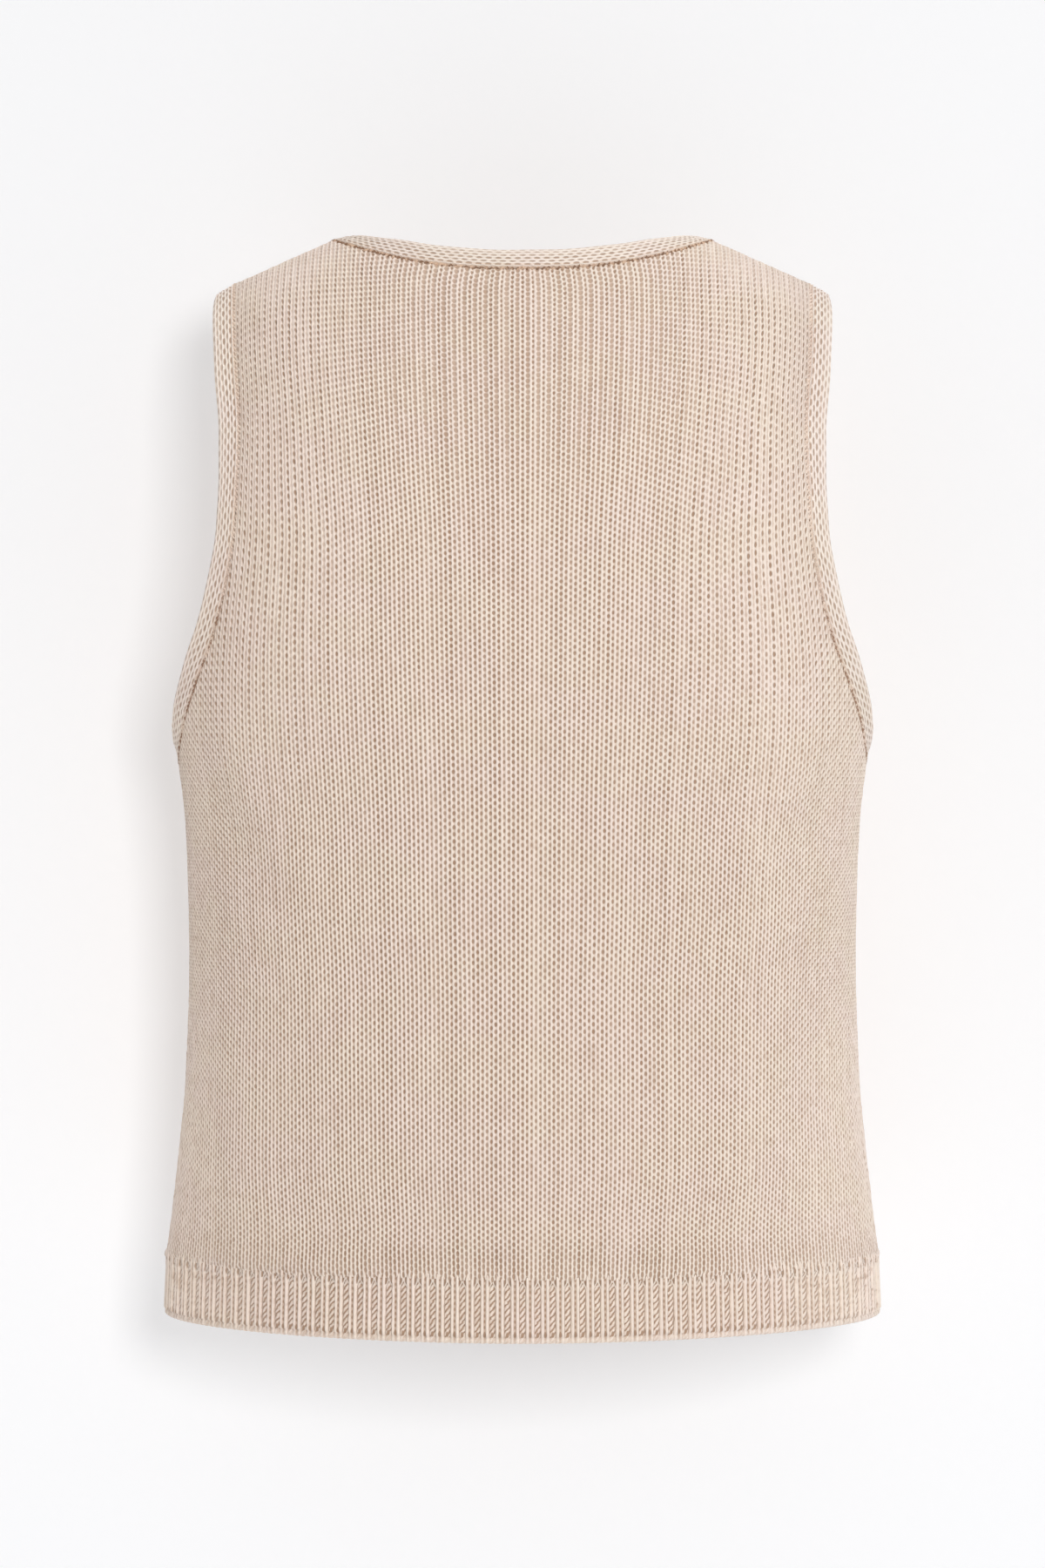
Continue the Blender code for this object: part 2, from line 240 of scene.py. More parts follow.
# Hem rib: how many, their courses, how they spread towards the sides, heights of the
# first course over the hem and of the tenth over the rib's top, how far below that
# the ribs begin to close, where a rib is highest, and the columns across one rib and
# its channel with what each is
RIBS_PER_PANEL = 60
RIB_COURSES = 10
RIB_SPREAD = (0.917, 0.083)
RIB_START = 3.6
RIB_OVERLAP = 2.6
RIB_TIP = 6.2
FOOT, STRAND, MIDDLE, CHANNEL = range(4)
RIB_CREST = 0.325
RIB_COLUMN_COLUMNS = ("across", "lift", "kind")
RIB_COLUMNS = (
    (0.000, 0.55, CHANNEL),
    (0.120, 0.46, CHANNEL),
    (0.205, 0.00, FOOT),
    (0.255, 0.70, STRAND),
    (0.325, 1.00, STRAND),
    (0.395, 0.80, STRAND),
    (0.500, 0.42, MIDDLE),
    (0.605, 0.80, STRAND),
    (0.675, 1.00, STRAND),
    (0.745, 0.70, STRAND),
    (0.795, 0.00, FOOT),
    (0.880, 0.46, CHANNEL),
)

# Cast-on edge: height above the hem, sink of the face and course
HEM_EDGE = (
    (2.9, -0.05, -0.25),
    (1.9, 0.35, -0.60),
    (0.9, 0.30, -0.95),
    (0.15, -0.45, -1.25),
    (-0.05, -1.40, -1.55),
)

# Rows round a band: share of its width, offset of the face in half thicknesses
# and, at the rolled foot, how far the roll is raised
BAND_ROLL = (
    (0.000, 0.55, 0.0),
    (0.030, 1.00, 0.6),
    (0.065, 1.10, 1.0),
    (0.100, 1.05, 0.6),
    (0.130, 0.80, 0.0),
)
BAND_BACK = (
    (1.000, -0.35),
    (0.930, -0.82),
    (0.600, -1.00),
    (0.150, -1.00),
    (0.000, -0.78),
)

# The band's wales: their width, where the lowest is as a share of the band, and
# their rows; then columns to a stitch along it, a row that faces out, the length
# of a stitch, and how far from the front point its legs are kept apart
BAND_WALE = 3.5
BAND_LOW = 0.17
BAND_ROWS = 16
STITCH_COLUMNS_ALONG = 4
SHOWN_LAYER = 6
NECK_PITCH = 4.9
ARMHOLE_PITCH = 5.9
MITRE_REACH = 60.0

# Seams: how far off a seam's direction is read, and how its normals are softened
SEAM_STEP = 0.8
SOFTEN_REACH = 6.0
SOFTEN_STEPS = 13
SOFTEN_BELL = 3.5

# Linking yarn: sides round it, points to a band's column, length of a loop, its
# swing across and in depth, what its thickness gains, and how deep it lies
SEAM_YARN_SIDES = 5
SEAM_YARN_STEPS = 3
SEAM_YARN_LOOP = 2.55
SEAM_YARN_ACROSS = 0.48
SEAM_YARN_DEPTH = 0.30
SEAM_YARN_GAIN = 0.20
SEAM_YARN_SINK = {"neck_seam_yarn": -0.32, "armhole_seam_yarn": -0.24}

# Paper backdrop in metres: depth behind the vest, heights down it, floor and its
# front edge, bend and half width; then the rows of the bend
BACKDROP_Y = -0.135
BACKDROP_HEIGHTS = (1.6, 0.8, 0.0)
BACKDROP_DROP = -1.6
BACKDROP_FRONT = 4.5
BACKDROP_BEND = 0.25
BACKDROP_HALF = 3.2
BACKDROP_ROWS = 24

# Lights: name, place, target, size, colour, and whether it falls on the paper
LIGHTS = (
    ("side", (-1.8, 1.5, 0.7), (0.0, 0.0, -0.25), 1.4, (0.82, 0.91, 1.0), False),
    ("top", (0.1, 0.9, 1.9), (0.0, 0.05, -0.10), 1.0, (1.0, 0.99, 0.98), False),
    ("front", (-0.37, 2.7, 0.05), (0.0, 0.0, -0.25), 0.46, (1.0, 0.975, 0.95), True),
    ("behind", (0.6, -2.4, 0.7), (0.0, 0.0, -0.25), 1.8, (1.0, 1.0, 1.0), True),
)

# Soft hollows and swells: middle, reach along and across,
# turn in degrees and depth; the side says which panel has it
FOLD_BOW = 0.0016
FOLD_COLUMNS = ("side", "x", "height", "along", "across", "turn", "depth")
FOLDS = (
    (1, 150.0, -268.0, 70.0, 13.0, 62.0, -2.0),
    (1, -152.0, -262.0, 64.0, 14.0, -60.0, -2.2),
    (1, 118.0, -300.0, 90.0, 20.0, 68.0, 1.3),
    (1, -122.0, -292.0, 84.0, 19.0, -66.0, 1.2),
    (1, 138.0, -420.0, 80.0, 17.0, 84.0, 1.2),
    (1, -141.0, -404.0, 92.0, 18.0, -86.0, -1.5),
    (1, 52.0, -455.0, 60.0, 16.0, 88.0, -0.9),
    (1, -66.0, -448.0, 66.0, 18.0, 92.0, 0.9),
    (1, 0.0, -476.0, 190.0, 9.0, 0.0, 1.5),
    (1, 70.0, -74.0, 60.0, 26.0, 30.0, 1.2),
    (1, -74.0, -70.0, 62.0, 24.0, -32.0, 1.2),
    (-1, 148.0, -270.0, 72.0, 14.0, 60.0, -2.2),
    (-1, -150.0, -264.0, 66.0, 13.0, -62.0, -2.0),
    (-1, 112.0, -306.0, 88.0, 19.0, 66.0, 1.4),
    (-1, -116.0, -298.0, 92.0, 20.0, -68.0, 1.2),
    (-1, 131.0, -416.0, 84.0, 18.0, 86.0, -1.3),
    (-1, -136.0, -424.0, 76.0, 17.0, -84.0, 1.3),
    (-1, 48.0, -446.0, 64.0, 17.0, 90.0, 0.9),
    (-1, -58.0, -452.0, 60.0, 16.0, 88.0, -0.9),
    (-1, 0.0, -476.0, 190.0, 9.0, 0.0, 1.5),
    (-1, 60.0, -180.0, 70.0, 20.0, 58.0, 1.2),
    (-1, -62.0, -184.0, 70.0, 19.0, -58.0, 1.1),
)


def sizes():
    """Return the sizes set in the sidebar."""
    return bpy.context.scene.vest_sizes


def colours():
    """Return the yarn colours set in the sidebar."""
    return bpy.context.scene.vest_colours


def column(table, names, name):
    """Return one named column of a table as an array."""
    return np.array([row[names.index(name)] for row in table], dtype=float)


def smooth_column(table, names, name):
    """Return a smooth function of height through one column of a table."""
    heights = column(table, names, "height")
    values = column(table, names, name)
    steps = np.diff(heights)
    slopes = np.diff(values) / steps
    tangents = np.zeros_like(values)
    tangents[0] = slopes[0]
    tangents[-1] = slopes[-1]
    before = slopes[:-1]
    after = slopes[1:]
    same = before * after > 0.0
    total = np.where(same, before + after, 1.0)
    tangents[1:-1] = np.where(same, 2.0 * before * after / total, 0.0)

    def value(height):
        height = np.clip(height, heights[0], heights[-1])
        place = np.clip(np.searchsorted(heights, height, side="right") - 1, 0, len(steps) - 1)
        span = steps[place]
        t = (height - heights[place]) / span
        start = values[place] * (2 * t**3 - 3 * t**2 + 1)
        end = values[place + 1] * (3 * t**2 - 2 * t**3)
        leave = tangents[place] * span * (t**3 - 2 * t**2 + t)
        arrive = tangents[place + 1] * span * (t**3 - t**2)
        return start + end + leave + arrive

    return value


half_width = smooth_column(TRUNK, TRUNK_COLUMNS, "half_width")
section_power = smooth_column(TRUNK, TRUNK_COLUMNS, "power")
armhole_flare = smooth_column(FLARE, FLARE_COLUMNS, "flare")
neck_flare = smooth_column(NECK_FLARE, FLARE_COLUMNS, "flare")
wale_width = smooth_column(GAUGE, GAUGE_COLUMNS, "wale")
course_height = smooth_column(GAUGE, GAUGE_COLUMNS, "course")
PANEL_DEPTH = {
    1: smooth_column(TRUNK, TRUNK_COLUMNS, "back_depth"),
    -1: smooth_column(TRUNK, TRUNK_COLUMNS, "front_depth"),
}
PANEL_EDGE = {
    1: smooth_column(ARMHOLE, ARMHOLE_COLUMNS, "back_edge"),
    -1: smooth_column(ARMHOLE, ARMHOLE_COLUMNS, "front_edge"),
}


def smooth_step(low, high, value):
    """Return 0 below low and 1 above high, with a smooth rise between."""
    t = np.clip((value - low) / (high - low), 0.0, 1.0)
    return t * t * (3.0 - 2.0 * t)


def bell(distance, reach):
    """Return 1 at no distance, falling off in a bell of the given reach."""
    return np.exp(-((distance / reach) ** 2))


def unit(vectors):
    """Return vectors at length one."""
    return vectors / np.linalg.norm(vectors, axis=-1, keepdims=True)


def running_length(steps):
    """Return the length up to each point of a curve from the lengths of its steps."""
    return np.concatenate(([0.0], np.cumsum(steps)))


def along_curve(places, length, values):
    """Return rows of three values at places along a curve of running length."""
    return np.stack([np.interp(places, length, values[:, k]) for k in range(3)], axis=1)


def shoulder_height(x):
    """Return the height of the shoulder line, carried on over the neck as a crown."""
    x = np.abs(x)
    line = NECK_POINT_HEIGHT + SHOULDER_SLOPE * (NECK_HALF_WIDTH - x)
    edge = NECK_POINT_HEIGHT + SHOULDER_SLOPE * (NECK_HALF_WIDTH - SHOULDER_CROWN)
    crown = edge + SHOULDER_SLOPE * (SHOULDER_CROWN**2 - x**2) / (2.0 * SHOULDER_CROWN)
    return np.where(x >= SHOULDER_CROWN, line, crown)


def top_height(x, side):
    """Return the height of a panel's top edge: the neck seam, then the shoulder."""
    share = np.minimum(np.abs(x) / NECK_HALF_WIDTH, 1.0)
    if side > 0:
        neck = NECK_POINT_HEIGHT - BACK_NECK_DROP * (1.0 - share**BACK_NECK_POWER)
    else:
        neck = NECK_POINT_HEIGHT - FRONT_NECK_DROP * (1.0 - share) ** FRONT_NECK_POWER
    return np.where(share >= 1.0, shoulder_height(x), neck)


def surface_y(x, height, side):
    """Return the outer face's depth; side is 1 for the back and -1 for the front."""
    power = section_power(height)
    across = np.minimum(np.abs(x) / half_width(height), 1.0)
    full = side * PANEL_DEPTH[side](height) * (1.0 - across**power) ** (1.0 / power)
    below = np.clip((shoulder_height(x) - height) / SHOULDER_DROP, 0.0, 1.0)
    bend = (1.0 - (1.0 - below) ** SHOULDER_ROUND) ** (1.0 / SHOULDER_ROUND)
    return RIDGE_Y + (full - RIDGE_Y) * bend


def surface_normal(x, height, side):
    """Return outward unit normals of the outer face, level at the side seams."""
    step = SLOPE_STEP
    slope_x = surface_y(x + step, height, side) - surface_y(x - step, height, side)
    slope_x = slope_x / (2 * step)
    slope_h = surface_y(x, height + step, side) - surface_y(x, height - step, side)
    slope_h = slope_h / (2 * step)
    normal = np.stack((-slope_x, np.ones_like(slope_x), -slope_h), axis=-1) * side
    edge = half_width(height)
    at_seam = smooth_step(0.985, 1.0, np.abs(x) / edge) * (height < UNDERARM_HEIGHT + 1.0)
    level = np.stack((np.sign(x) + 0.0 * x, 0.0 * x, 0.0 * x), axis=-1)
    return unit(unit(normal) * (1.0 - at_seam[..., None]) + level * at_seam[..., None])


def folds(x, height, side):
    """Return the soft hollows and swells of one panel, faded out at its edges."""
    depth = np.zeros_like(x)
    for row in FOLDS:
        fold = dict(zip(FOLD_COLUMNS, row))
        if fold["side"] != side:
            continue
        turn = math.radians(fold["turn"])
        dx = x - fold["x"]
        dz = height - fold["height"]
        along = dx * math.cos(turn) + dz * math.sin(turn)
        across = -dx * math.sin(turn) + dz * math.cos(turn)
        bow = across + FOLD_BOW * along**2 * np.sign(fold["depth"])
        near = np.exp(-((along / fold["along"]) ** 2) - (bow / fold["across"]) ** 2)
        depth += fold["depth"] * near
    upright = np.sin(x * 0.031 + height * 0.011 + side)
    depth += 0.5 * upright * np.sin(height * 0.024 - x * 0.008)
    edge = np.where(height > UNDERARM_HEIGHT, PANEL_EDGE[side](height), half_width(height))
    fade = smooth_step(0.0, 26.0, edge - np.abs(x))
    fade = fade * smooth_step(0.0, 22.0, top_height(x, side) - height)
    at_rib = smooth_step(HEM_HEIGHT + 4.0, RIB_TOP + 20.0, height)
    return sizes().hollow_share * depth * fade * at_rib


class StitchSpace:
    """Where each wale and course of one panel lies on the form."""

    def __init__(self, side):
        self.side = side
        self.heights = np.linspace(HEM_HEIGHT, SECTION_TOP, SECTIONS)
        stored = 2 * STORED_PER_WALE * HALF_WALES
        self.wales = np.linspace(-HALF_WALES, HALF_WALES, stored + 1)
        self.across = np.stack([self.section(height) for height in self.heights])

    def section(self, height):
        """Return x of every wale on one section."""
        power = 2.0 / float(section_power(height))
        angles = np.linspace(0.0, math.pi / 2.0, CURVE_SAMPLES)
        x = float(half_width(height)) * np.sin(angles) ** power
        y = float(PANEL_DEPTH[self.side](height)) * np.cos(angles) ** power
        length = running_length(np.hypot(np.diff(x), np.diff(y)))
        level = min(height, UNDERARM_HEIGHT)
        total = length[-1] if height <= UNDERARM_HEIGHT else self.underarm_length
        self.underarm_length = total
        gain = total / (HALF_WALES * float(wale_width(level))) - 1.0
        share = np.linspace(0.0, 1.0, CURVE_SAMPLES)
        wale = HALF_WALES * (share + gain * share * (1.0 - share**2))
        stretch = float(wale_width(height) / wale_width(level))
        reach = np.interp(np.abs(self.wales), wale, share) * total * stretch
        closer = CLOSER_WALES * float(smooth_step(UNDERARM_HEIGHT, CLOSER_TOP, height))
        reach = reach * (1.0 - closer * np.minimum(reach / CLOSER_OUT, 1.5) ** 2)
        return np.sign(self.wales) * np.interp(reach, length, x)

    def x_of(self, wale, height):
        """Return x for wales at heights, between the stored sections."""
        step = self.heights[1] - self.heights[0]
        row = np.clip((height - self.heights[0]) / step, 0.0, SECTIONS - 1.001)
        stored = 2 * STORED_PER_WALE * HALF_WALES
        place = np.clip((wale + HALF_WALES) * STORED_PER_WALE, 0.0, stored - 0.001)
        i = row.astype(int)
        j = place.astype(int)
        s = row - i
        t = place - j
        low = self.across[i, j] * (1.0 - t) + self.across[i, j + 1] * t
        high = self.across[i + 1, j] * (1.0 - t) + self.across[i + 1, j + 1] * t
        return low * (1.0 - s) + high * s

    def wale_of(self, x, height):
        """Return the wale at x on one height, for arrays of both."""
        low = np.full(x.shape, -float(HALF_WALES))
        high = np.full(x.shape, float(HALF_WALES))
        for _ in range(HALVINGS):
            middle = (low + high) / 2.0
            below = self.x_of(middle, height) < x
            low = np.where(below, middle, low)
            high = np.where(below, high, middle)
        return (low + high) / 2.0


def course_size(height, x):
    """Return the height of a course, taller beside the armholes."""
    taller = TALLER_COURSES * smooth_step(*TALLER_HEIGHTS, height)
    return course_height(height) * (1.0 + taller * np.minimum(np.abs(x) / TALLER_OUT, 1.3) ** 2)


def wale_curves(space, wales, start_height):
    """Return heights and course counts up every wale, from a level start to the top."""
    side = space.side
    top = np.full(wales.shape, TOP_GUESS)
    for _ in range(TOP_ROUNDS):
        top = top_height(space.x_of(wales, top), side)
    rise = 1.0 - (1.0 - np.linspace(0.0, 1.0, CURVE_SAMPLES)) ** CURVE_POWER
    height = start_height + (top[:, None] - start_height) * rise[None, :]
    x = space.x_of(np.repeat(wales[:, None], CURVE_SAMPLES, axis=1), height)
    y = surface_y(x, height, side)
    step = np.sqrt(np.diff(x) ** 2 + np.diff(y) ** 2 + np.diff(height) ** 2)
    middle = (height[:, 1:] + height[:, :-1]) / 2.0
    beside = (x[:, 1:] + x[:, :-1]) / 2.0
    courses = np.cumsum(step / course_size(middle, beside), axis=1)
    return height, np.concatenate((np.zeros((len(wales), 1)), courses), axis=1)


class PanelGrid:
    """Points, normals, stitch coordinates and relief of one panel's outer face."""

    def __init__(self, side):
        self.side = side
        self.space = StitchSpace(side)
        phases = np.arange(2 * HALF_WALES * WALE_COLUMNS + 1)
        nominal = -HALF_WALES + phases / WALE_COLUMNS
        heights, courses = wale_curves(self.space, nominal, RIB_TOP - BODY_START)
        rows = int(math.ceil(courses[:, -1].max() * 2.0)) + 1
        self.rows = rows
        count = np.arange(rows) / 2.0
        found = [np.interp(count, course, height) for course, height in zip(courses, heights)]
        self.height = np.stack(found, axis=1)
        self.above = count[:, None] > courses[None, :, -1]
        course = np.minimum(count[:, None], courses[None, :, -1])
        kind = phases % WALE_COLUMNS
        at_wale = np.minimum(phases // WALE_COLUMNS, 2 * HALF_WALES)
        turn = np.arange(rows) % 2
        spread = column(STITCH, STITCH_COLUMNS, "spread")[turn]
        spread = spread + UPPER_SPREAD * smooth_step(*UPPER_COURSES, count)
        shift = np.zeros((rows, len(phases)))
        outer = 0.5 - spread - STRAND_HALF - 1.0 / 6.0
        inner = 0.5 - spread + STRAND_HALF - 1.0 / 3.0
        for place, moved in ((1, outer), (2, inner), (4, -inner), (5, -outer)):
            shift[:, kind == place] = moved[:, None]
        rng = np.random.default_rng(PANEL_SEED + side)
        wales = 2 * HALF_WALES + 1
        lean = rng.normal(0.0, LEAN_SPREAD, (rows, wales))
        loose = lean[:, at_wale] * (kind != 0)
        wale = np.clip(nominal[None, :] + shift + loose, -HALF_WALES, HALF_WALES)
        x = self.space.x_of(wale, self.height)
        if side > 0:
            from_top = (courses[None, :, -1] - count[:, None]) * NECK_COURSE
            drawn = NECK_DRAW * np.tanh(x / 16.0) * smooth_step(NECK_HALF_WIDTH, 60.0, np.abs(x))
            x = x - drawn * bell(np.maximum(from_top, 0.0), NECK_DRAW_DOWN)
        edge = np.where(self.height > UNDERARM_HEIGHT, PANEL_EDGE[side](self.height), NO_EDGE)
        self.outside = np.abs(x) > edge
        x = np.where(self.outside, np.sign(x) * edge, x)
        near_edge = np.abs(np.abs(x) - edge) < EDGE_MARGIN
        x = np.where(near_edge & ~self.outside, np.sign(x) * (edge - EDGE_MARGIN), x)
        top = top_height(x, side)
        self.height = np.minimum(self.height, top)
        found = self.space.wale_of(x, self.height)
        self.wale = np.where(self.outside, found, wale)
        self.course = course
        self.x = x
        lifts = np.zeros((rows, len(phases)))
        for place, name in enumerate(COLUMN_KINDS):
            lifts[:, kind == place] = column(STITCH, STITCH_COLUMNS, name)[turn][:, None]
        beside = smooth_step(*BESIDE_WALES, np.abs(nominal))
        beside = beside * smooth_step(*BESIDE_COURSES, count)[:, None]
        between = np.where(kind == COLUMN_KINDS.index("between"), 0.32 * beside, 0.0)
        calm = np.where(kind == COLUMN_KINDS.index("inside"), beside, between)
        lifts = lifts * (1.0 - calm) + 0.85 * calm
        tension = 1.0 + rng.normal(0.0, sizes().uneven_stitches, (rows // 2 + 2, wales))
        stitch = tension[(np.arange(rows) // 2)[:, None], at_wale[None, :]]
        uneven = rng.normal(0.0, LIFT_SPREAD, lifts.shape)
        straight = 1.0 - 0.75 * (1.0 - smooth_step(1.2, 5.0, count)[:, None])
        lifts = 1.0 - (1.0 - lifts) * straight
        raised = (lifts * stitch + uneven) * sizes().stitch_relief / MM
        self.lift = raised - sizes().stitch_sink / MM
        self.finish()

    def finish(self):
        """Work out points, normals and the distance to the nearest sewn edge."""
        side = self.side
        x = self.x
        height = self.height
        y = surface_y(x, height, side)
        self.normal = surface_normal(x, height, side)
        seam = (np.abs(x) >= half_width(height) - 1e-6) & (height < UNDERARM_HEIGHT + 0.5)
        ridge = (height >= shoulder_height(x) - 1e-6) & (np.abs(x) >= NECK_HALF_WIDTH)
        y = np.where(seam, side * SEAM_GAP / 2.0, y)
        y = np.where(ridge, RIDGE_Y + side * SEAM_GAP / 2.0, y)
        self.base = np.stack((x, y, height), axis=-1)
        to_top = (self.top_courses() - self.course) * course_height(height)
        edge = PANEL_EDGE[side](height)
        lean = np.maximum(np.abs(self.normal[..., 1]), 0.35)
        to_armhole = np.where(height > UNDERARM_HEIGHT - 6.0, (edge - np.abs(x)) / lean, FAR)
        to_side = (HALF_WALES - np.abs(self.wale)) * SIDE_WALE
        to_side = np.where(height <= UNDERARM_HEIGHT, to_side, FAR)
        self.to_edge = np.minimum(to_top, np.maximum(to_armhole, 0.0))
        self.to_side = to_side
        settle = smooth_step(-0.4, 2.2, self.to_edge)
        depth, reach = EDGE_GROOVE
        groove = depth * bell(self.to_edge, reach)
        depth, reach = SIDE_GROOVE
        groove = groove + depth * bell(to_side, reach)
        above_rib = height - RIB_TOP
        swell = sizes().rib_lift / MM * BODY_SWELL * bell(above_rib, SWELL_HEIGHT)
        ragged = np.sin(self.wale * 2.1) * 0.5 + np.sin(self.wale * 5.3 + 1.0) * 0.5
        tuck = BODY_TUCK * (1.0 - smooth_step(-0.2, 1.9, above_rib + ragged))
        relief = self.lift * (0.35 + 0.65 * settle) - groove + swell - tuck
        relief = relief + folds(x, height, side)
        self.points = self.base + self.normal * relief[..., None]

    def top_courses(self):
        """Return the course count at each column's top edge."""
        return np.broadcast_to(self.course[-1][None, :], self.course.shape)


def grid_faces(index, skipped, side):
    """Return faces of a grid after merging points, without the ones that vanish."""

    def corners(grid):
        return np.stack((grid[:-1, :-1], grid[:-1, 1:], grid[1:, 1:], grid[1:, :-1]), axis=-1)

    quads = corners(index)[~corners(skipped).all(axis=-1)]
    if side > 0:
        quads = quads[:, ::-1]
    faces = []
    for quad in quads.tolist():
        face = []
        for vertex in quad:
            if vertex not in face:
                face.append(vertex)
        if len(face) > 2:
            faces.append(face)
    return faces


def border_of(faces):
    """Return the directed edges that one face alone uses."""
    seen = {}
    for face in faces:
        for start, end in zip(face, face[1:] + face[:1]):
            if (end, start) in seen:
                del seen[(end, start)]
            else:
                seen[(start, end)] = True
    return list(seen)


class Cloth:
    """Vertices, faces, stitch coordinates and painted seam shade of one piece of the scene."""

    def __init__(self, points, stitches, masks, faces):
        self.points = list(points)
        self.stitches = list(stitches)
        self.masks = list(masks)
        self.faces = faces

    def add_rim(self, inward, open_edge):
        """Turn the cloth in at its edges, except where open_edge says it runs on."""
        edges = [edge for edge in border_of(self.faces) if not open_edge(edge)]
        pushes = {}
        for start, end in edges:
            along = np.array(self.stitches[end]) - np.array(self.stitches[start])
            for vertex in (start, end):
                pushes.setdefault(vertex, []).append((along[1], -along[0]))
        turned = {}
        for vertex, found in pushes.items():
            push = np.sum(found, axis=0)
            size = np.linalg.norm(push)
            push = push / size if size > 1e-9 else np.zeros(2)
            turned[vertex] = len(self.points)
            self.points.append(inward[vertex])
            self.stitches.append(np.array(self.stitches[vertex]) + push * RIM_STITCHES)
            self.masks.append(self.masks[vertex])
        for start, end in edges:
            self.faces.append([end, start, turned[start], turned[end]])


def add_object(name, cloth, material, node, normals=None, corners=None):
    """Make one smooth-shaded piece with its stitch map and bake map."""
    if not cloth.faces:
        raise RuntimeError(name + " has no faces")
    mesh = bpy.data.meshes.new(name)
    points = np.array(cloth.points) * MM
    mesh.from_pydata(points.tolist(), [], cloth.faces)
    if corners is None:
        vertices = np.zeros(len(mesh.loops), dtype=np.int32)
        mesh.loops.foreach_get("vertex_index", vertices)
        stitches = np.array(cloth.stitches)[vertices]
    else:
        stitches = np.array([pair for face in corners for pair in face])
    low = stitches.min(axis=0)
    size = stitches.max(axis=0) - low
    own = mesh.uv_layers.new(name="stitches")
    own.data.foreach_set("uv", stitches.astype(np.float32).ravel())
    bake = mesh.uv_layers.new(name="OFBake")
    spread_out = BAKE_MARGIN + (1.0 - 2.0 * BAKE_MARGIN) * (stitches - low) / size
    bake.data.foreach_set("uv", spread_out.astype(np.float32).ravel())
    # Painted shade: the mask by which the yarn is darkened along seams and sewn edges
    seam = mesh.attributes.new("seam", "FLOAT", "POINT")
    seam.data.foreach_set("value", np.array(cloth.masks, dtype=np.float32))
    mesh.shade_smooth()
    mesh.materials.append(material)
    if normals is not None:
        mesh.normals_split_custom_set_from_vertices([tuple(n) for n in normals])
    mesh.update()
    piece = bpy.data.objects.new(name, mesh)
    bpy.context.scene.collection.objects.link(piece)
    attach(piece, "root")
    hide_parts(node)
    return piece


def vertex_normals(points, faces):
    """Return smooth normals of a mesh of triangles and quads."""
    count = len(points)
    points = np.asarray(points)
    quads = np.array([face + face[-1:] * (4 - len(face)) for face in faces])
    p = points[quads]
    normal = np.cross(p[:, 2] - p[:, 0], p[:, 3] - p[:, 1])
    short = quads[:, 2] == quads[:, 3]
    normal[short] = np.cross(p[short, 1] - p[short, 0], p[short, 2] - p[short, 0])
    total = np.zeros((count, 3))
    for corner in range(4):
        np.add.at(total, quads[:, corner], normal)
    size = np.linalg.norm(total, axis=1, keepdims=True)
    return total / np.maximum(size, 1e-12)


def merged_index(above):
    """Return a grid's vertex numbers, every column's rows above its top edge made one."""
    rows, columns = above.shape
    index = np.arange(rows * columns).reshape(rows, columns)
    last = np.where(above.any(axis=0), np.argmax(above, axis=0), rows - 1)
    for place in range(columns):
        index[last[place]:, place] = index[last[place], place]
    return index


def take(faces, *tables):
    """Return the vertices faces use, the faces renumbered, and the rows they use of tables."""
    used = sorted({vertex for face in faces for vertex in face})
    order = {vertex: place for place, vertex in enumerate(used)}
    renumbered = [[order[vertex] for vertex in face] for face in faces]
    return used, renumbered, *([table[vertex] for vertex in used] for table in tables)


def panel_pieces(grid, name, node, material, split_row):
    """Make the body and yoke pieces of one panel's outer face."""
    columns = grid.x.shape[1]
    points = grid.points.reshape(-1, 3)
    inner = (grid.base - grid.normal * WALL).reshape(-1, 3)
    stitches = np.stack((grid.wale, grid.course), axis=-1).reshape(-1, 2)
    # Painted shade in the grooves at the sewn edges and the side seams
    masks = np.minimum(bell(grid.to_edge, 1.7) + bell(grid.to_side, 1.5), 1.0).ravel()
    faces = grid_faces(merged_index(grid.above), grid.outside, grid.side)
    normals = vertex_normals(points, faces)
    made = []
    limits = ((0, split_row, name + "_body"), (split_row, grid.rows, name + "_yoke"))
    for low, high, title in limits:
        part = [face for face in faces if low <= min(face) // columns < high]
        used, own_faces, *own_rows, directions = take(part, points, stitches, masks, normals)
        cloth = Cloth(*own_rows, own_faces)
        row_of = [vertex // columns for vertex in used]

        def runs_on(edge):
            pair = (row_of[edge[0]], row_of[edge[1]])
            return pair == (split_row, split_row) or pair == (0, 0)

        before = len(cloth.points)
        cloth.add_rim([inner[vertex] for vertex in used], runs_on)
        own = vertex_normals(cloth.points, cloth.faces)
        keep = [
            directions[i] if i < before and row_of[i] in (split_row, 0) else own[i]
            for i in range(len(cloth.points))
        ]
        made.append(add_object(title, cloth, material, node, keep))
    return made


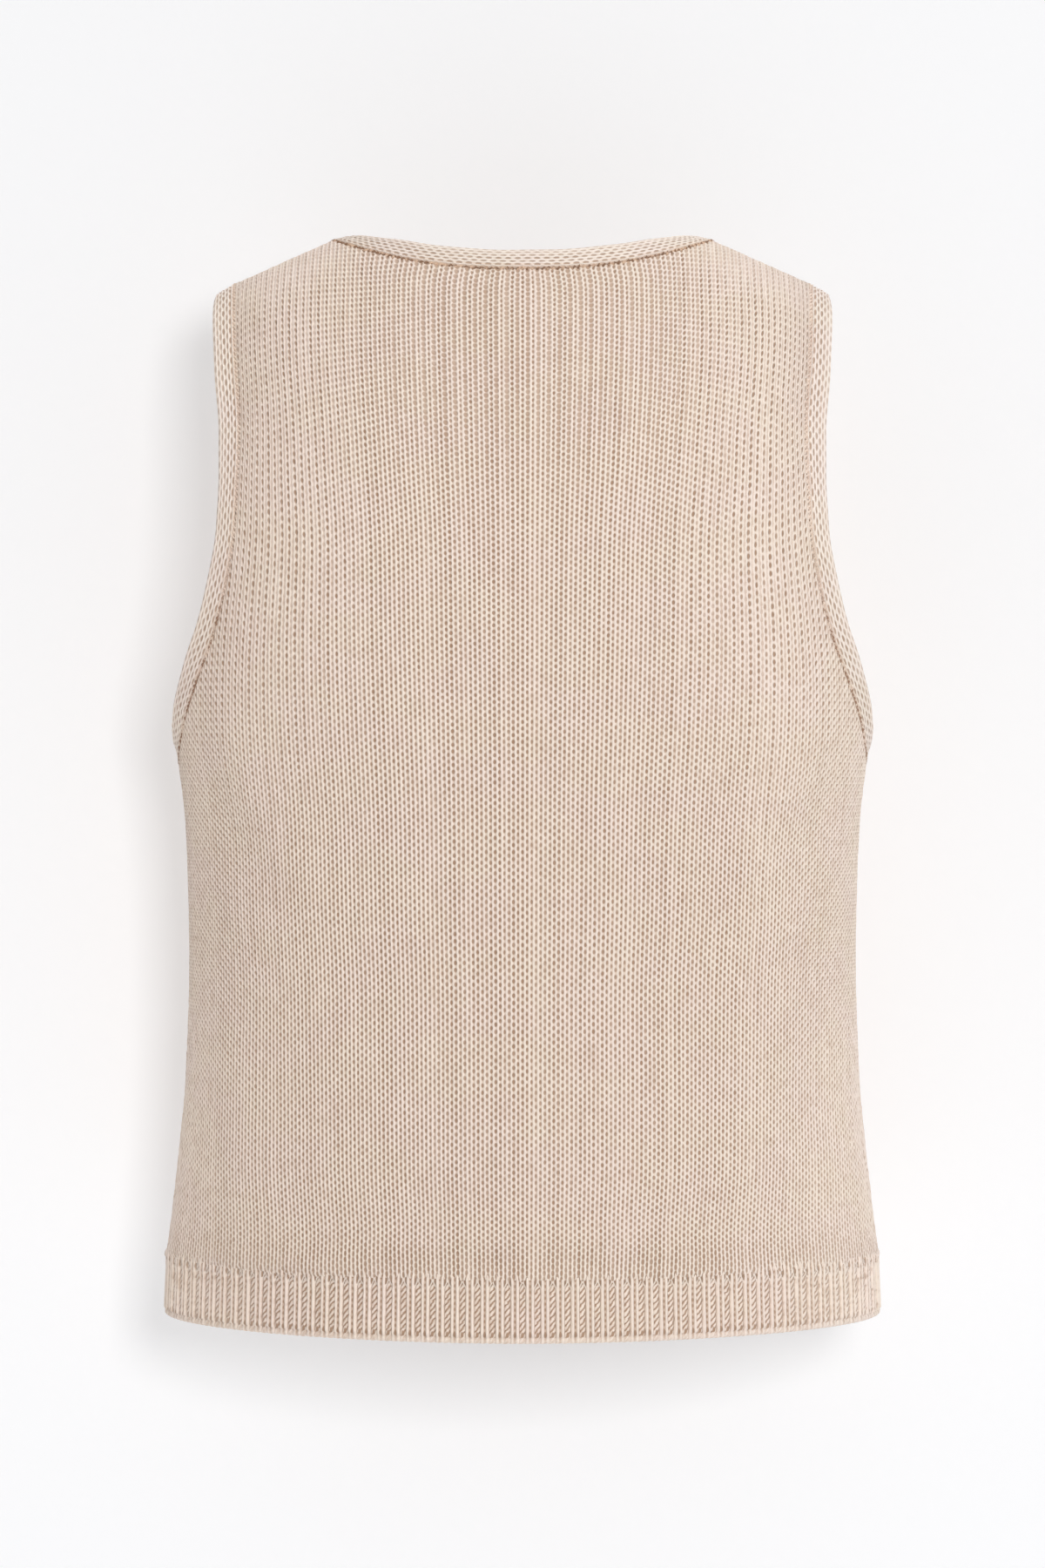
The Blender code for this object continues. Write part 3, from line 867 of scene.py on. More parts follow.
def panel_inside(grid, name, node, material):
    """Make the purl side of one panel, a vertex to each stitch."""
    pick_rows = list(range(0, grid.rows, 2))
    if pick_rows[-1] != grid.rows - 1:
        pick_rows.append(grid.rows - 1)
    pick = np.ix_(pick_rows, range(0, grid.x.shape[1], WALE_COLUMNS))
    soft = folds(grid.x, grid.height, grid.side)
    points = (grid.base - grid.normal * (WALL - soft[..., None]))[pick]
    outside = grid.outside[pick]
    columns = outside.shape[1]
    faces = grid_faces(merged_index(grid.above[pick]), outside, -grid.side)
    stitches = np.stack((grid.wale[pick], grid.course[pick]), axis=-1).reshape(-1, 2)
    stitches = stitches * np.array((-1.0, 1.0))
    points = points.reshape(-1, 3)
    start = len(points)
    points = np.concatenate((points, inside_hem(grid)))
    hem_stitches = stitches[:columns] - np.array((0.0, RIB_COURSES + 1.0))
    stitches = np.concatenate((stitches, hem_stitches))
    for place in range(columns - 1):
        face = [start + place, start + place + 1, place + 1, place]
        faces.append(face if grid.side > 0 else face[::-1])
    _, faces, *rows = take(faces, points, stitches, np.zeros(len(stitches)))
    return add_object(name + "_inside", Cloth(*rows, faces), material, node)


def inside_hem(grid):
    """Return the inner face's points at the hem's lower edge."""
    wale = grid.wale[0][::WALE_COLUMNS]
    height = np.full(wale.shape, HEM_HEIGHT + 0.9)
    x = grid.space.x_of(wale, height)
    y = surface_y(x, height, grid.side)
    normal = surface_normal(x, height, grid.side)
    return np.stack((x, y, height), axis=-1) - normal * WALL


def rib_across(height, side, shares):
    """Return section points and normals at shares of the panel's width."""
    power = 2.0 / float(section_power(height))
    angles = np.linspace(-math.pi / 2.0, math.pi / 2.0, RIB_SAMPLES)
    x = float(half_width(height)) * np.sign(np.sin(angles)) * np.abs(np.sin(angles)) ** power
    y = side * float(PANEL_DEPTH[side](height)) * np.abs(np.cos(angles)) ** power
    length = running_length(np.hypot(np.diff(x), np.diff(y)))
    length /= length[-1]
    normal = np.stack((-np.gradient(y) * side, np.gradient(x) * side, 0.0 * x), axis=1)
    normal[0] = (-1.0, 0.0, 0.0)
    normal[-1] = (1.0, 0.0, 0.0)
    points = np.stack((x, y, np.full(len(x), height)), axis=1)
    return along_curve(shares, length, points), along_curve(shares, length, unit(normal))


def rib_shares(keys):
    """Return the share of the panel's width at each rib, closer in the middle."""
    t = keys / RIBS_PER_PANEL * 2.0 - 1.0
    even, curved = RIB_SPREAD
    return 0.5 + 0.5 * (even * t + curved * t**3)


def rib_piece(side, name, node, material):
    """Make the hem rib: knit wales raised over purl channels and a cast-on edge."""
    rib_lift = sizes().rib_lift / MM
    rng = np.random.default_rng(RIB_SEED + side)
    across = column(RIB_COLUMNS, RIB_COLUMN_COLUMNS, "across")
    lifts = column(RIB_COLUMNS, RIB_COLUMN_COLUMNS, "lift")
    kinds = column(RIB_COLUMNS, RIB_COLUMN_COLUMNS, "kind").astype(int)
    ribs = np.arange(RIBS_PER_PANEL)
    keys = (ribs[:, None] + across[None, :]).ravel()
    keys = np.append(keys, RIBS_PER_PANEL)
    lift = np.append(np.tile(lifts, RIBS_PER_PANEL), 0.0)
    kind = np.append(np.tile(kinds, RIBS_PER_PANEL), FOOT)
    share = keys % 1.0
    low = HEM_HEIGHT + RIB_START
    high = RIB_TOP + RIB_OVERLAP
    heights = low + (high - low) / (2.0 * RIB_COURSES) * np.arange(2 * RIB_COURSES + 4)
    rows = len(heights)
    tips = rng.normal(0.0, TIP_SPREAD, RIBS_PER_PANEL + 2)
    tip = tips[np.round(keys).astype(int)]
    wobble = rng.normal(0.0, SWING_SPREAD, (rows, RIBS_PER_PANEL + 1))
    points = []
    stitches = []
    inner = []
    masks = []
    for above, sink, course in HEM_EDGE[::-1]:
        base, normal = rib_across(HEM_HEIGHT + above, side, rib_shares(keys))
        loops = 0.10 * np.cos(keys * 4.0 * math.pi) * min(above, 1.0)
        raised = lift * rib_lift * 0.40 * min(max(above, 0.0), 1.0) + sink + loops
        row = base + normal * raised[:, None]
        row[:, 2] += 0.12 * np.cos(keys * 4.0 * math.pi + 1.0)
        points.append(row)
        inner.append(base - normal * WALL)
        stitches.append(np.stack((keys * 2.0, np.full(len(keys), course)), axis=1))
        masks.append(np.zeros(len(keys)))
    for place, height in enumerate(heights):
        phase = place % 2
        inside = (0.0, 0.60)[phase]
        purl = (0.10, 0.34)[phase]
        detail = np.where(kind == STRAND, 0.50, np.where(kind == MIDDLE, inside * 0.5, 0.0))
        channel = (kind == CHANNEL) * purl * 0.8
        below_tip = (height - (high - RIB_TIP + tip)) / 4.0
        close = np.clip(below_tip, 0.0, 1.0)
        width = 0.5 * (1.0 - close) ** 0.7
        from_channel = np.minimum(share, 1.0 - share)
        open_lift = smooth_step(width * 0.55, width * 1.05 + 0.02, from_channel)
        total = np.where(close > 0.0, np.maximum(lift, open_lift), lift)
        ridge = bell(from_channel - width * 0.80, 0.11) * (close > 0.0) * (close < 1.0) * 0.28
        raised = total * rib_lift + (detail + channel) * 0.9 + ridge - 0.15
        late = smooth_step(high - 2.0, heights[-1], height)
        early = smooth_step(high - 2.2, high + 0.3, height)
        fade = np.where(kind == STRAND, late, early)
        raised = raised * (1.0 - fade) + (rib_lift * BODY_SWELL - 0.80) * fade
        finger = smooth_step(high - 4.0, high - 0.5, height)
        finger = finger * (1.0 - smooth_step(high + 0.4, heights[-1], height))
        crest = np.isclose(np.minimum(share, 1.0 - share), RIB_CREST, atol=0.01)
        uneven = np.sin(keys * 7.7) * np.sin(keys * 2.3)
        raised = raised + crest * finger * (0.55 + 0.8 * uneven)
        swing = wobble[place][np.clip(np.round(keys).astype(int), 0, RIBS_PER_PANEL)]
        moved = keys + np.where((kind == STRAND) | (kind == MIDDLE), swing, 0.0)
        base, normal = rib_across(height, side, rib_shares(moved))
        base[0, 1] = side * SEAM_GAP / 2.0
        base[-1, 1] = side * SEAM_GAP / 2.0
        groove = 0.5 * (bell(keys, 0.25) + bell(RIBS_PER_PANEL - keys, 0.25))
        points.append(base + normal * (raised - groove)[:, None])
        inner.append(base - normal * WALL)
        stitches.append(np.stack((moved * 2.0, np.full(len(keys), place / 2.0)), axis=1))
        # Painted shade in the groove at the side seam
        masks.append(np.minimum(groove * 1.2, 1.0))
    columns = len(keys)
    total_rows = len(points)
    index = np.arange(total_rows * columns).reshape(total_rows, columns)
    faces = grid_faces(index, np.zeros(index.shape, bool), side)
    cloth = Cloth(*(np.concatenate(rows) for rows in (points, stitches, masks)), faces)
    top = (total_rows - 1) * columns

    def runs_on(edge):
        return min(edge) >= top

    cloth.add_rim(list(np.concatenate(inner)), runs_on)
    return add_object(name + "_rib", cloth, material, node)


def closed_seam(edges):
    """Return points, normals and running length of a closed seam of (x, height, side)."""
    points = []
    normals = []
    for x, height, side in edges:
        points.append(np.stack((x, surface_y(x, height, side), height), axis=1))
        normals.append(surface_normal(x, height, side))
    points = np.concatenate(points + [points[0][:1]])
    normals = np.concatenate(normals + [normals[0][:1]])
    steps = np.linalg.norm(np.diff(points, axis=0), axis=1)
    return points, normals, running_length(steps)


def places_on(seam, places):
    """Return a closed seam's points and softened normals at the given lengths."""
    points, normals, length = seam
    facing = np.zeros((len(places), 3))
    for step in np.linspace(-SOFTEN_REACH, SOFTEN_REACH, SOFTEN_STEPS):
        at = np.mod(places + step, length[-1])
        facing += math.exp(-((step / SOFTEN_BELL) ** 2)) * along_curve(at, length, normals)
    return along_curve(places, length, points), unit(facing)


def armhole_seam(sign):
    """Return one armhole's closed seam, from the underarm up the back."""
    rise = 0.5 - 0.5 * np.cos(np.linspace(0.0, math.pi, SEAM_SAMPLES["armhole"]))
    top = float(top_height(np.array(SHOULDER_HALF_WIDTH), 1))
    height = UNDERARM_HEIGHT + (top - UNDERARM_HEIGHT) * rise
    back = (sign * PANEL_EDGE[1](height), height, 1)
    down = height[::-1]
    front = (sign * PANEL_EDGE[-1](down), down, -1)
    return closed_seam((back, front))


def neck_seam():
    """Return the neck's closed seam, from the front point round the back."""
    half = NECK_HALF_WIDTH * np.sin(np.linspace(0.0, math.pi / 2.0, SEAM_SAMPLES["neck"]))
    across = np.concatenate((-half[:0:-1], half))
    return closed_seam((
        (half, top_height(half, -1), -1),
        (across[::-1], top_height(across[::-1], 1), 1),
        (-half[::-1], top_height(-half[::-1], -1), -1),
    ))


def band_ring():
    """Return the rows round a band: share of the width, offset, wale if knit, and roll."""
    rows = [(along, out, None, rolled) for along, out, rolled in BAND_ROLL]
    for step in range(BAND_ROWS):
        wale = step / WALE_COLUMNS
        along = BAND_LOW + wale * BAND_WALE / BAND_WIDTH
        bulge = 1.0 - 0.75 * max(0.0, (along - 0.62) / 0.38) ** 2.2
        rows.append((along, bulge, wale, 0.0))
    rows.append((1.0, 0.10, None, 0.0))
    rows.extend((along, out, None, 0.0) for along, out in BAND_BACK)
    return rows


def facing_out(points, faces, corners, first, away):
    """Return a tube's faces and corners, turned over where one ring of points faces inwards."""
    outward = vertex_normals(points, faces)
    if float(np.sum(outward[first:first + len(away)] * away)) < 0.0:
        faces = [face[::-1] for face in faces]
        corners = [corner[::-1] for corner in corners]
    return faces, corners


def band_faces(layers, shown, course):
    """Return a band's faces and corners, the wales counted on over its back."""
    size = len(layers)
    columns = len(course) - 1
    last = len(BAND_ROLL) + BAND_ROWS
    run = [0.0]
    for k in range(size):
        gap = np.linalg.norm(layers[(k + 1) % size] - layers[k], axis=1).mean()
        run.append(run[-1] + float(gap))
    edge = float(shown[last].mean())
    faces = []
    corners = []
    for k in range(size):
        beyond = (k + 1) % size
        here = shown[k]
        there = shown[beyond]
        if k >= last:
            here = np.full(columns, edge + (run[k] - run[last]) / BAND_WALE)
            there = np.full(columns, edge + (run[k + 1] - run[last]) / BAND_WALE)
        for j in range(columns):
            following = (j + 1) % columns
            faces.append([k * columns + j, k * columns + following,
                          beyond * columns + following, beyond * columns + j])
            corners.append(((here[j], course[j]), (here[following], course[j + 1]),
                            (there[following], course[j + 1]), (there[j], course[j])))
    return faces, corners


def band_piece(node, seam, centre, flare, pitch, material, corner):
    """Make one band round an opening: strands along it, a rolled foot and a soft edge."""
    title = node + "_knit"
    rng = np.random.default_rng(len(title))
    total = seam[2][-1]
    stitches = int(round(total / pitch / 2.0)) * 2
    columns = stitches * STITCH_COLUMNS_ALONG
    step = total / stitches
    places = np.arange(columns) * total / columns
    turn = places / step * 2.0 * math.pi
    point, normal = places_on(seam, places)
    before, _ = places_on(seam, np.mod(places - SEAM_STEP, total))
    after, _ = places_on(seam, np.mod(places + SEAM_STEP, total))
    across = unit(np.cross(after - before, normal))
    across *= np.sign(np.sum(across * (centre - point), axis=1, keepdims=True))
    start = point - normal * WALL / 2.0 + across * BAND_GAP
    waver = 1.0 + 0.012 * np.sin(places * 0.061 + 1.3) + 0.01 * np.sin(places * 0.173)
    lean_full = np.radians(flare(point[:, 2]))
    tension = 1.0 + rng.normal(0.0, TENSION_SPREAD, (8, columns))
    wave = np.cos(turn)
    layers = []
    shown = []
    masks = []
    for along, out, wale, rolled in band_ring():
        along = np.full(columns, along)
        lift = np.zeros(columns)
        if wale is not None:
            kind = int(round(wale * WALE_COLUMNS)) % WALE_COLUMNS
            spread = STRAND_SPREAD + STRAND_WAVE * wave
            outer = -spread - STRAND_HALF + 0.5 - 1.0 / 6.0
            inner = -spread + STRAND_HALF + 0.5 - 1.0 / 3.0
            shift = (0.0, outer, inner, 0.0, -inner, -outer)[kind]
            along = along + shift * BAND_WALE / BAND_WIDTH
            if COLUMN_KINDS[kind] == "strand":
                lift = np.ones(columns)
            else:
                lift = 0.30 + (0.30 if COLUMN_KINDS[kind] == "between" else -0.30) * wave
            lift = (lift * tension[int(wale * 2.0)] - 0.55) * 0.75
        if rolled:
            waves = np.cos(2.0 * turn) * (0.7 + 0.3 * np.sin(turn * 0.37))
            lift = rolled * (0.40 + 0.16 * waves)
        lean = (lean_full * along**0.5)[:, None]
        reach = (along * BAND_WIDTH * waver)[:, None]
        middle = start + reach * (np.cos(lean) * across + np.sin(lean) * normal)
        face = np.cos(lean) * normal - np.sin(lean) * across
        layer = middle + face * (out * BAND_THICKNESS / 2.0 + lift[:, None])
        if corner:
            layer = mitred(layer, point)
        layers.append(layer)
        shown.append((along - BAND_LOW) * BAND_WIDTH / BAND_WALE)
        # Painted shade at the band's foot, next to its seam
        masks.append(bell(along, 0.05))
    faces, corners = band_faces(layers, shown, np.append(places / step, stitches))
    points = np.concatenate(layers)
    away = layers[SHOWN_LAYER] - np.mean(layers, axis=0)
    faces, corners = facing_out(points, faces, corners, SHOWN_LAYER * columns, away)
    maps = np.stack((np.concatenate(shown), np.tile(places / step, len(layers))), axis=1)
    cloth = Cloth(points, maps, np.concatenate(masks), faces)
    made = add_object(title, cloth, material, node, corners=corners)
    seam_yarn(node, point, normal, across, places, rng)
    return made


def seam_yarn(node, point, normal, across, places, rng):
    """Lay the linking yarn in the seam between a panel and its band."""
    name = node.split("_")[0] + "_seam_yarn"
    material = seam_yarn_material(name)
    sink = SEAM_YARN_SINK[name]
    size = getattr(sizes(), name) / MM
    sides = SEAM_YARN_SIDES
    fine = SEAM_YARN_STEPS
    count = len(places) * fine
    at = np.arange(count) / fine
    index = np.arange(len(places) + 1)

    def between(values):
        return along_curve(at, index, np.concatenate((values, values[:1])))

    spot = between(point)
    up = between(normal)
    over = between(across)
    length = float(np.linalg.norm(np.diff(spot, axis=0), axis=1).sum())
    loops = int(round(length / SEAM_YARN_LOOP))
    turn = np.arange(count) / count * loops * 2.0 * math.pi
    wander = np.interp(at, index, np.append(rng.normal(0.0, 1.0, len(places)), 0.0))
    sideways = 0.05 + SEAM_YARN_ACROSS * np.sin(turn) + 0.16 * wander
    upwards = sink + SEAM_YARN_DEPTH * np.cos(turn) + 0.06 * wander
    middle = spot + over * sideways[:, None]
    middle = middle + up * upwards[:, None]
    thick = size + SEAM_YARN_GAIN * np.cos(turn + 0.7) + 0.05 * wander
    layers = []
    for side in range(sides):
        angle = 2.0 * math.pi * side / sides
        out = math.cos(angle) * over + math.sin(angle) * up
        layers.append(middle + out * thick[:, None])
    points = np.concatenate(layers)
    faces = []
    corners = []
    for side in range(sides):
        beyond = (side + 1) % sides
        for j in range(count):
            after = (j + 1) % count
            faces.append([side * count + j, side * count + after,
                          beyond * count + after, beyond * count + j])
            corners.append(((side, j / fine), (side, (j + 1) / fine),
                            (side + 1, (j + 1) / fine), (side + 1, j / fine)))
    faces, corners = facing_out(points, faces, corners, 0, over)
    cloth = Cloth(points, np.zeros((len(points), 2)), np.zeros(len(points)), faces)
    add_object(node + "_seam", cloth, material, node, corners=corners)


def mitred(layer, point):
    """Keep each leg of the neck band on its own side of the front point."""
    near = (point[:, 1] < 0.0) & (np.abs(point[:, 0]) < MITRE_REACH)
    wrong = near & (layer[:, 0] * np.sign(point[:, 0] + 1e-9) < 0.0)
    fixed = layer.copy()
    fixed[wrong, 0] = 0.0
    at_point = near & (np.abs(point[:, 0]) < 1e-6)
    fixed[at_point, 0] = 0.0
    return fixed


def math_node(operation):
    """Return a method that adds one kind of math node and returns its result."""

    def add_node(self, first, second=0.0, third=0.0, clamp=False):
        made = self.node("ShaderNodeMath", operation=operation, use_clamp=clamp)
        for socket, value in zip(made.inputs, (first, second, third)):
            self.feed(socket, value)
        return made.outputs[0]

    return add_node


class Graph:
    """A short way to write a shader's nodes."""

    add = math_node("ADD")
    sub = math_node("SUBTRACT")
    mul = math_node("MULTIPLY")
    div = math_node("DIVIDE")
    mul_add = math_node("MULTIPLY_ADD")
    most = math_node("MAXIMUM")
    least = math_node("MINIMUM")
    size = math_node("ABSOLUTE")
    sign = math_node("SIGN")
    fract = math_node("FRACT")
    floor = math_node("FLOOR")
    sine = math_node("SINE")
    cosine = math_node("COSINE")
    root = math_node("SQRT")

    def __init__(self, tree):
        self.tree = tree

    def node(self, kind, **settings):
        """Add a node and set its properties."""
        made = self.tree.nodes.new(kind)
        for name, value in settings.items():
            setattr(made, name, value)
        return made

    def feed(self, socket, value):
        """Link or set one input."""
        if isinstance(value, bpy.types.NodeSocket):
            self.tree.links.new(value, socket)
        else:
            socket.default_value = value

    def fill(self, made, values):
        """Link or set several inputs of a node by name and return the node."""
        for name, value in values.items():
            self.feed(made.inputs[name], value)
        return made

    def vectors(self, operation, first, second):
        """Add a vector math node and return its result."""
        made = self.node("ShaderNodeVectorMath", operation=operation)
        self.feed(made.inputs[0], first)
        self.feed(made.inputs["Scale" if operation == "SCALE" else 1], second)
        return made.outputs[0]

    def rise(self, value, low, high, to_low=0.0, to_high=1.0):
        """Add a smooth map range and return its result."""
        made = self.node("ShaderNodeMapRange", interpolation_type="SMOOTHSTEP")
        for place, given in enumerate((value, low, high, to_low, to_high)):
            self.feed(made.inputs[place], given)
        return made.outputs[0]

    def mix(self, share, first, second, blend="MIX"):
        """Mix two colours and return the result."""
        made = self.node("ShaderNodeMix", data_type="RGBA", blend_type=blend)
        for place, value in ((0, share), (6, first), (7, second)):
            self.feed(made.inputs[place], value)
        return made.outputs[2]

    def noise(self, vector, scale, detail=2.0, rough=0.5, output="Fac"):
        """Add a noise texture and return its value or colour."""
        made = self.node("ShaderNodeTexNoise")
        given = {"Vector": vector, "Scale": scale, "Detail": detail, "Roughness": rough}
        return self.fill(made, given).outputs[output]

    def chance(self, dimensions, at):
        """Add a white noise, even within a cell, and return its value."""
        made = self.node("ShaderNodeTexWhiteNoise", noise_dimensions=dimensions)
        self.feed(made.inputs["W" if dimensions == "1D" else "Vector"], at)
        return made.outputs["Value"]

    def vector(self, x, y, z=0.0):
        """Join three values into a vector."""
        made = self.node("ShaderNodeCombineXYZ")
        for socket, value in zip(made.inputs, (x, y, z)):
            self.feed(socket, value)
        return made.outputs[0]

    def split(self, vector):
        """Return the three parts of a vector."""
        made = self.node("ShaderNodeSeparateXYZ")
        self.feed(made.inputs[0], vector)
        return made.outputs

    def place(self):
        """Return the place in the vest's own coordinates."""
        return self.node("ShaderNodeTexCoord").outputs["Object"]

    def bump(self, height, strength, distance):
        """Add a bump and return its node."""
        made = self.node("ShaderNodeBump")
        return self.fill(made, {"Height": height, "Strength": strength, "Distance": distance})

    def group(self, name, values):
        """Add a shared group with some of its inputs set and return its node."""
        return self.fill(self.node("ShaderNodeGroup", node_tree=shared_group(name)), values)


def shared_group(name):
    """Return a shader group, made the first time that a material asks for it."""
    made = bpy.data.node_groups.get(name)
    if made is None:
        made = GROUP_MAKERS[name]()
    return made


def new_group(name, inputs, outputs):
    """Make an empty shader group and return its tree, input and output nodes."""
    tree = bpy.data.node_groups.new(name, "ShaderNodeTree")
    for label, kind, value in inputs:
        socket = tree.interface.new_socket(label, in_out="INPUT", socket_type=kind)
        if value is not None:
            socket.default_value = value
    for label, kind in outputs:
        tree.interface.new_socket(label, in_out="OUTPUT", socket_type=kind)
    start = tree.nodes.new("NodeGroupInput")
    end = tree.nodes.new("NodeGroupOutput")
    return tree, start.outputs, end.inputs


def knit_stitch_group():
    """Make the knit side's stitch: wavy strands round staggered oval gaps."""
    tree, given, result = new_group(
        "Knit stitch",
        (
            ("Stitch", "NodeSocketVector", None),
            ("Spread", "NodeSocketFloat", STRAND_SPREAD),
            ("Loosen", "NodeSocketFloat", 0.16),
            ("Gap width", "NodeSocketFloat", 0.142),
            ("Gap height", "NodeSocketFloat", 0.33),
        ),
        (
            ("Height", "NodeSocketFloat"),
            ("Gap", "NodeSocketFloat"),
            ("Ply", "NodeSocketFloat"),
            ("Own", "NodeSocketFloat"),
        ),
    )
    g = Graph(tree)
    drift = g.noise(given["Stitch"], 0.9, 1.0, output="Color")
    moved = g.vectors("SCALE", g.vectors("SUBTRACT", drift, (0.5, 0.5, 0.5)), given["Loosen"])
    wale, course, _ = g.split(g.vectors("ADD", given["Stitch"], moved))
    across = g.size(g.sub(g.fract(wale), 0.5))
    wave = g.cosine(g.mul(course, 2.0 * math.pi))
    beside = g.mul(g.rise(g.size(wale), *BESIDE_WALES), g.rise(course, *BESIDE_COURSES))
    upper = g.mul(g.rise(course, *UPPER_COURSES), g.sub(1.0, beside))
    middle = g.mul_add(upper, UPPER_SPREAD, given["Spread"])
    centre = g.mul_add(wave, STRAND_WAVE, middle)
    from_strand = g.sub(across, centre)
    strand = round_strand(g, from_strand, 0.165)
    column_at = g.floor(g.mul_add(wale, 2.0, 0.5))
    line = g.chance("1D", column_at)
    wide = g.mul_add(line, 0.40, 0.80)
    half = g.mul(given["Gap width"], wide)
    rise = g.sub(g.fract(g.add(course, 0.5)), 0.5)
    uneven = g.mul(g.mul(line, beside), 0.22)
    drop = g.sub(g.fract(g.add(course, uneven)), 0.5)
    slack = g.mul_add(upper, 0.075, half)
    tight = g.mul_add(upper, -0.020, half)
    tall = g.mul_add(upper, 0.12, given["Gap height"])
    leaning = g.mul(g.rise(course, 12.0, 50.0), g.rise(course, 108.0, 132.0, 1.0, 0.0))
    leaning = g.mul(leaning, g.rise(g.size(wale), 27.0, 38.0, 0.0, 0.42))
    lean = g.mul(leaning, g.sign(wale))
    from_inside = g.sub(g.fract(wale), 0.5)
    from_between = g.sub(g.fract(g.add(wale, 0.5)), 0.5)
    from_inside = g.sub(from_inside, g.mul(lean, rise))
    from_between = g.sub(from_between, g.mul(lean, drop))
    inside = oval(g, from_inside, rise, slack, tall)
    inside = g.mul(inside, g.mul_add(upper, -0.30, 1.0))
    inside = g.mul(inside, g.mul_add(beside, -0.78, 1.0))
    thread = g.mul(g.rise(across, 0.02, 0.10, 0.30, 0.0), beside)
    wider = g.mul_add(beside, 0.028, tight)
    taller = g.mul_add(beside, 0.02, given["Gap height"])
    between = oval(g, from_between, drop, wider, taller)
    gap = g.most(g.most(inside, thread), between)
    # The painted gap shade differs at random from stitch to stitch and column to column
    cell = g.chance("2D", g.vector(column_at, g.floor(course)))
    gap = g.mul(gap, g.mul_add(cell, 0.24, 0.74))
    dark = g.chance("1D", g.add(column_at, 0.5))
    gap = g.mul(gap, g.mul_add(dark, 0.26, 0.88), clamp=True)
    solid = g.most(strand, g.mul_add(beside, 0.12, 0.46))
    height = g.mul(solid, g.sub(1.0, gap))
    strand_at = g.floor(g.mul(wale, 2.0))
    own = g.chance("3D", g.vector(strand_at, g.floor(course), 3.0))
    turn = g.add(g.mul(course, 3.0), g.mul(from_strand, 5.5))
    ply = g.mul(g.sine(g.mul(turn, 2.0 * math.pi)), strand)
    for name, value in (("Height", height), ("Gap", gap), ("Ply", ply), ("Own", own)):
        g.feed(result[name], value)
    return tree


def purl_stitch_group():
    """Make the purl side's stitch: rows of small bumps, half a wale apart."""
    tree, given, result = new_group(
        "Purl stitch",
        (
            ("Stitch", "NodeSocketVector", None),
            ("Lean", "NodeSocketFloat", 0.0),
            ("Arch", "NodeSocketFloat", 0.20),
        ),
        (("Height", "NodeSocketFloat"), ("Gap", "NodeSocketFloat")),
    )
    g = Graph(tree)
    wale, course, _ = g.split(given["Stitch"])
    lean = g.mul(g.sub(g.fract(wale), 0.5), given["Lean"])
    arch = g.mul(g.cosine(g.mul(wale, 2.0 * math.pi)), given["Arch"])
    turn = g.add(g.add(course, lean), arch)
    turn = g.add(turn, g.mul(g.noise(given["Stitch"], 1.6, 1.0), 0.7))
    bump = g.cosine(g.mul(turn, 2.0 * math.pi))
    height = g.mul_add(bump, 0.5, 0.5)
    g.feed(result["Height"], height)
    # Gap: the low parts between bumps, which get painted shade
    g.feed(result["Gap"], g.rise(height, 0.0, 0.42, 1.0, 0.0))
    return tree


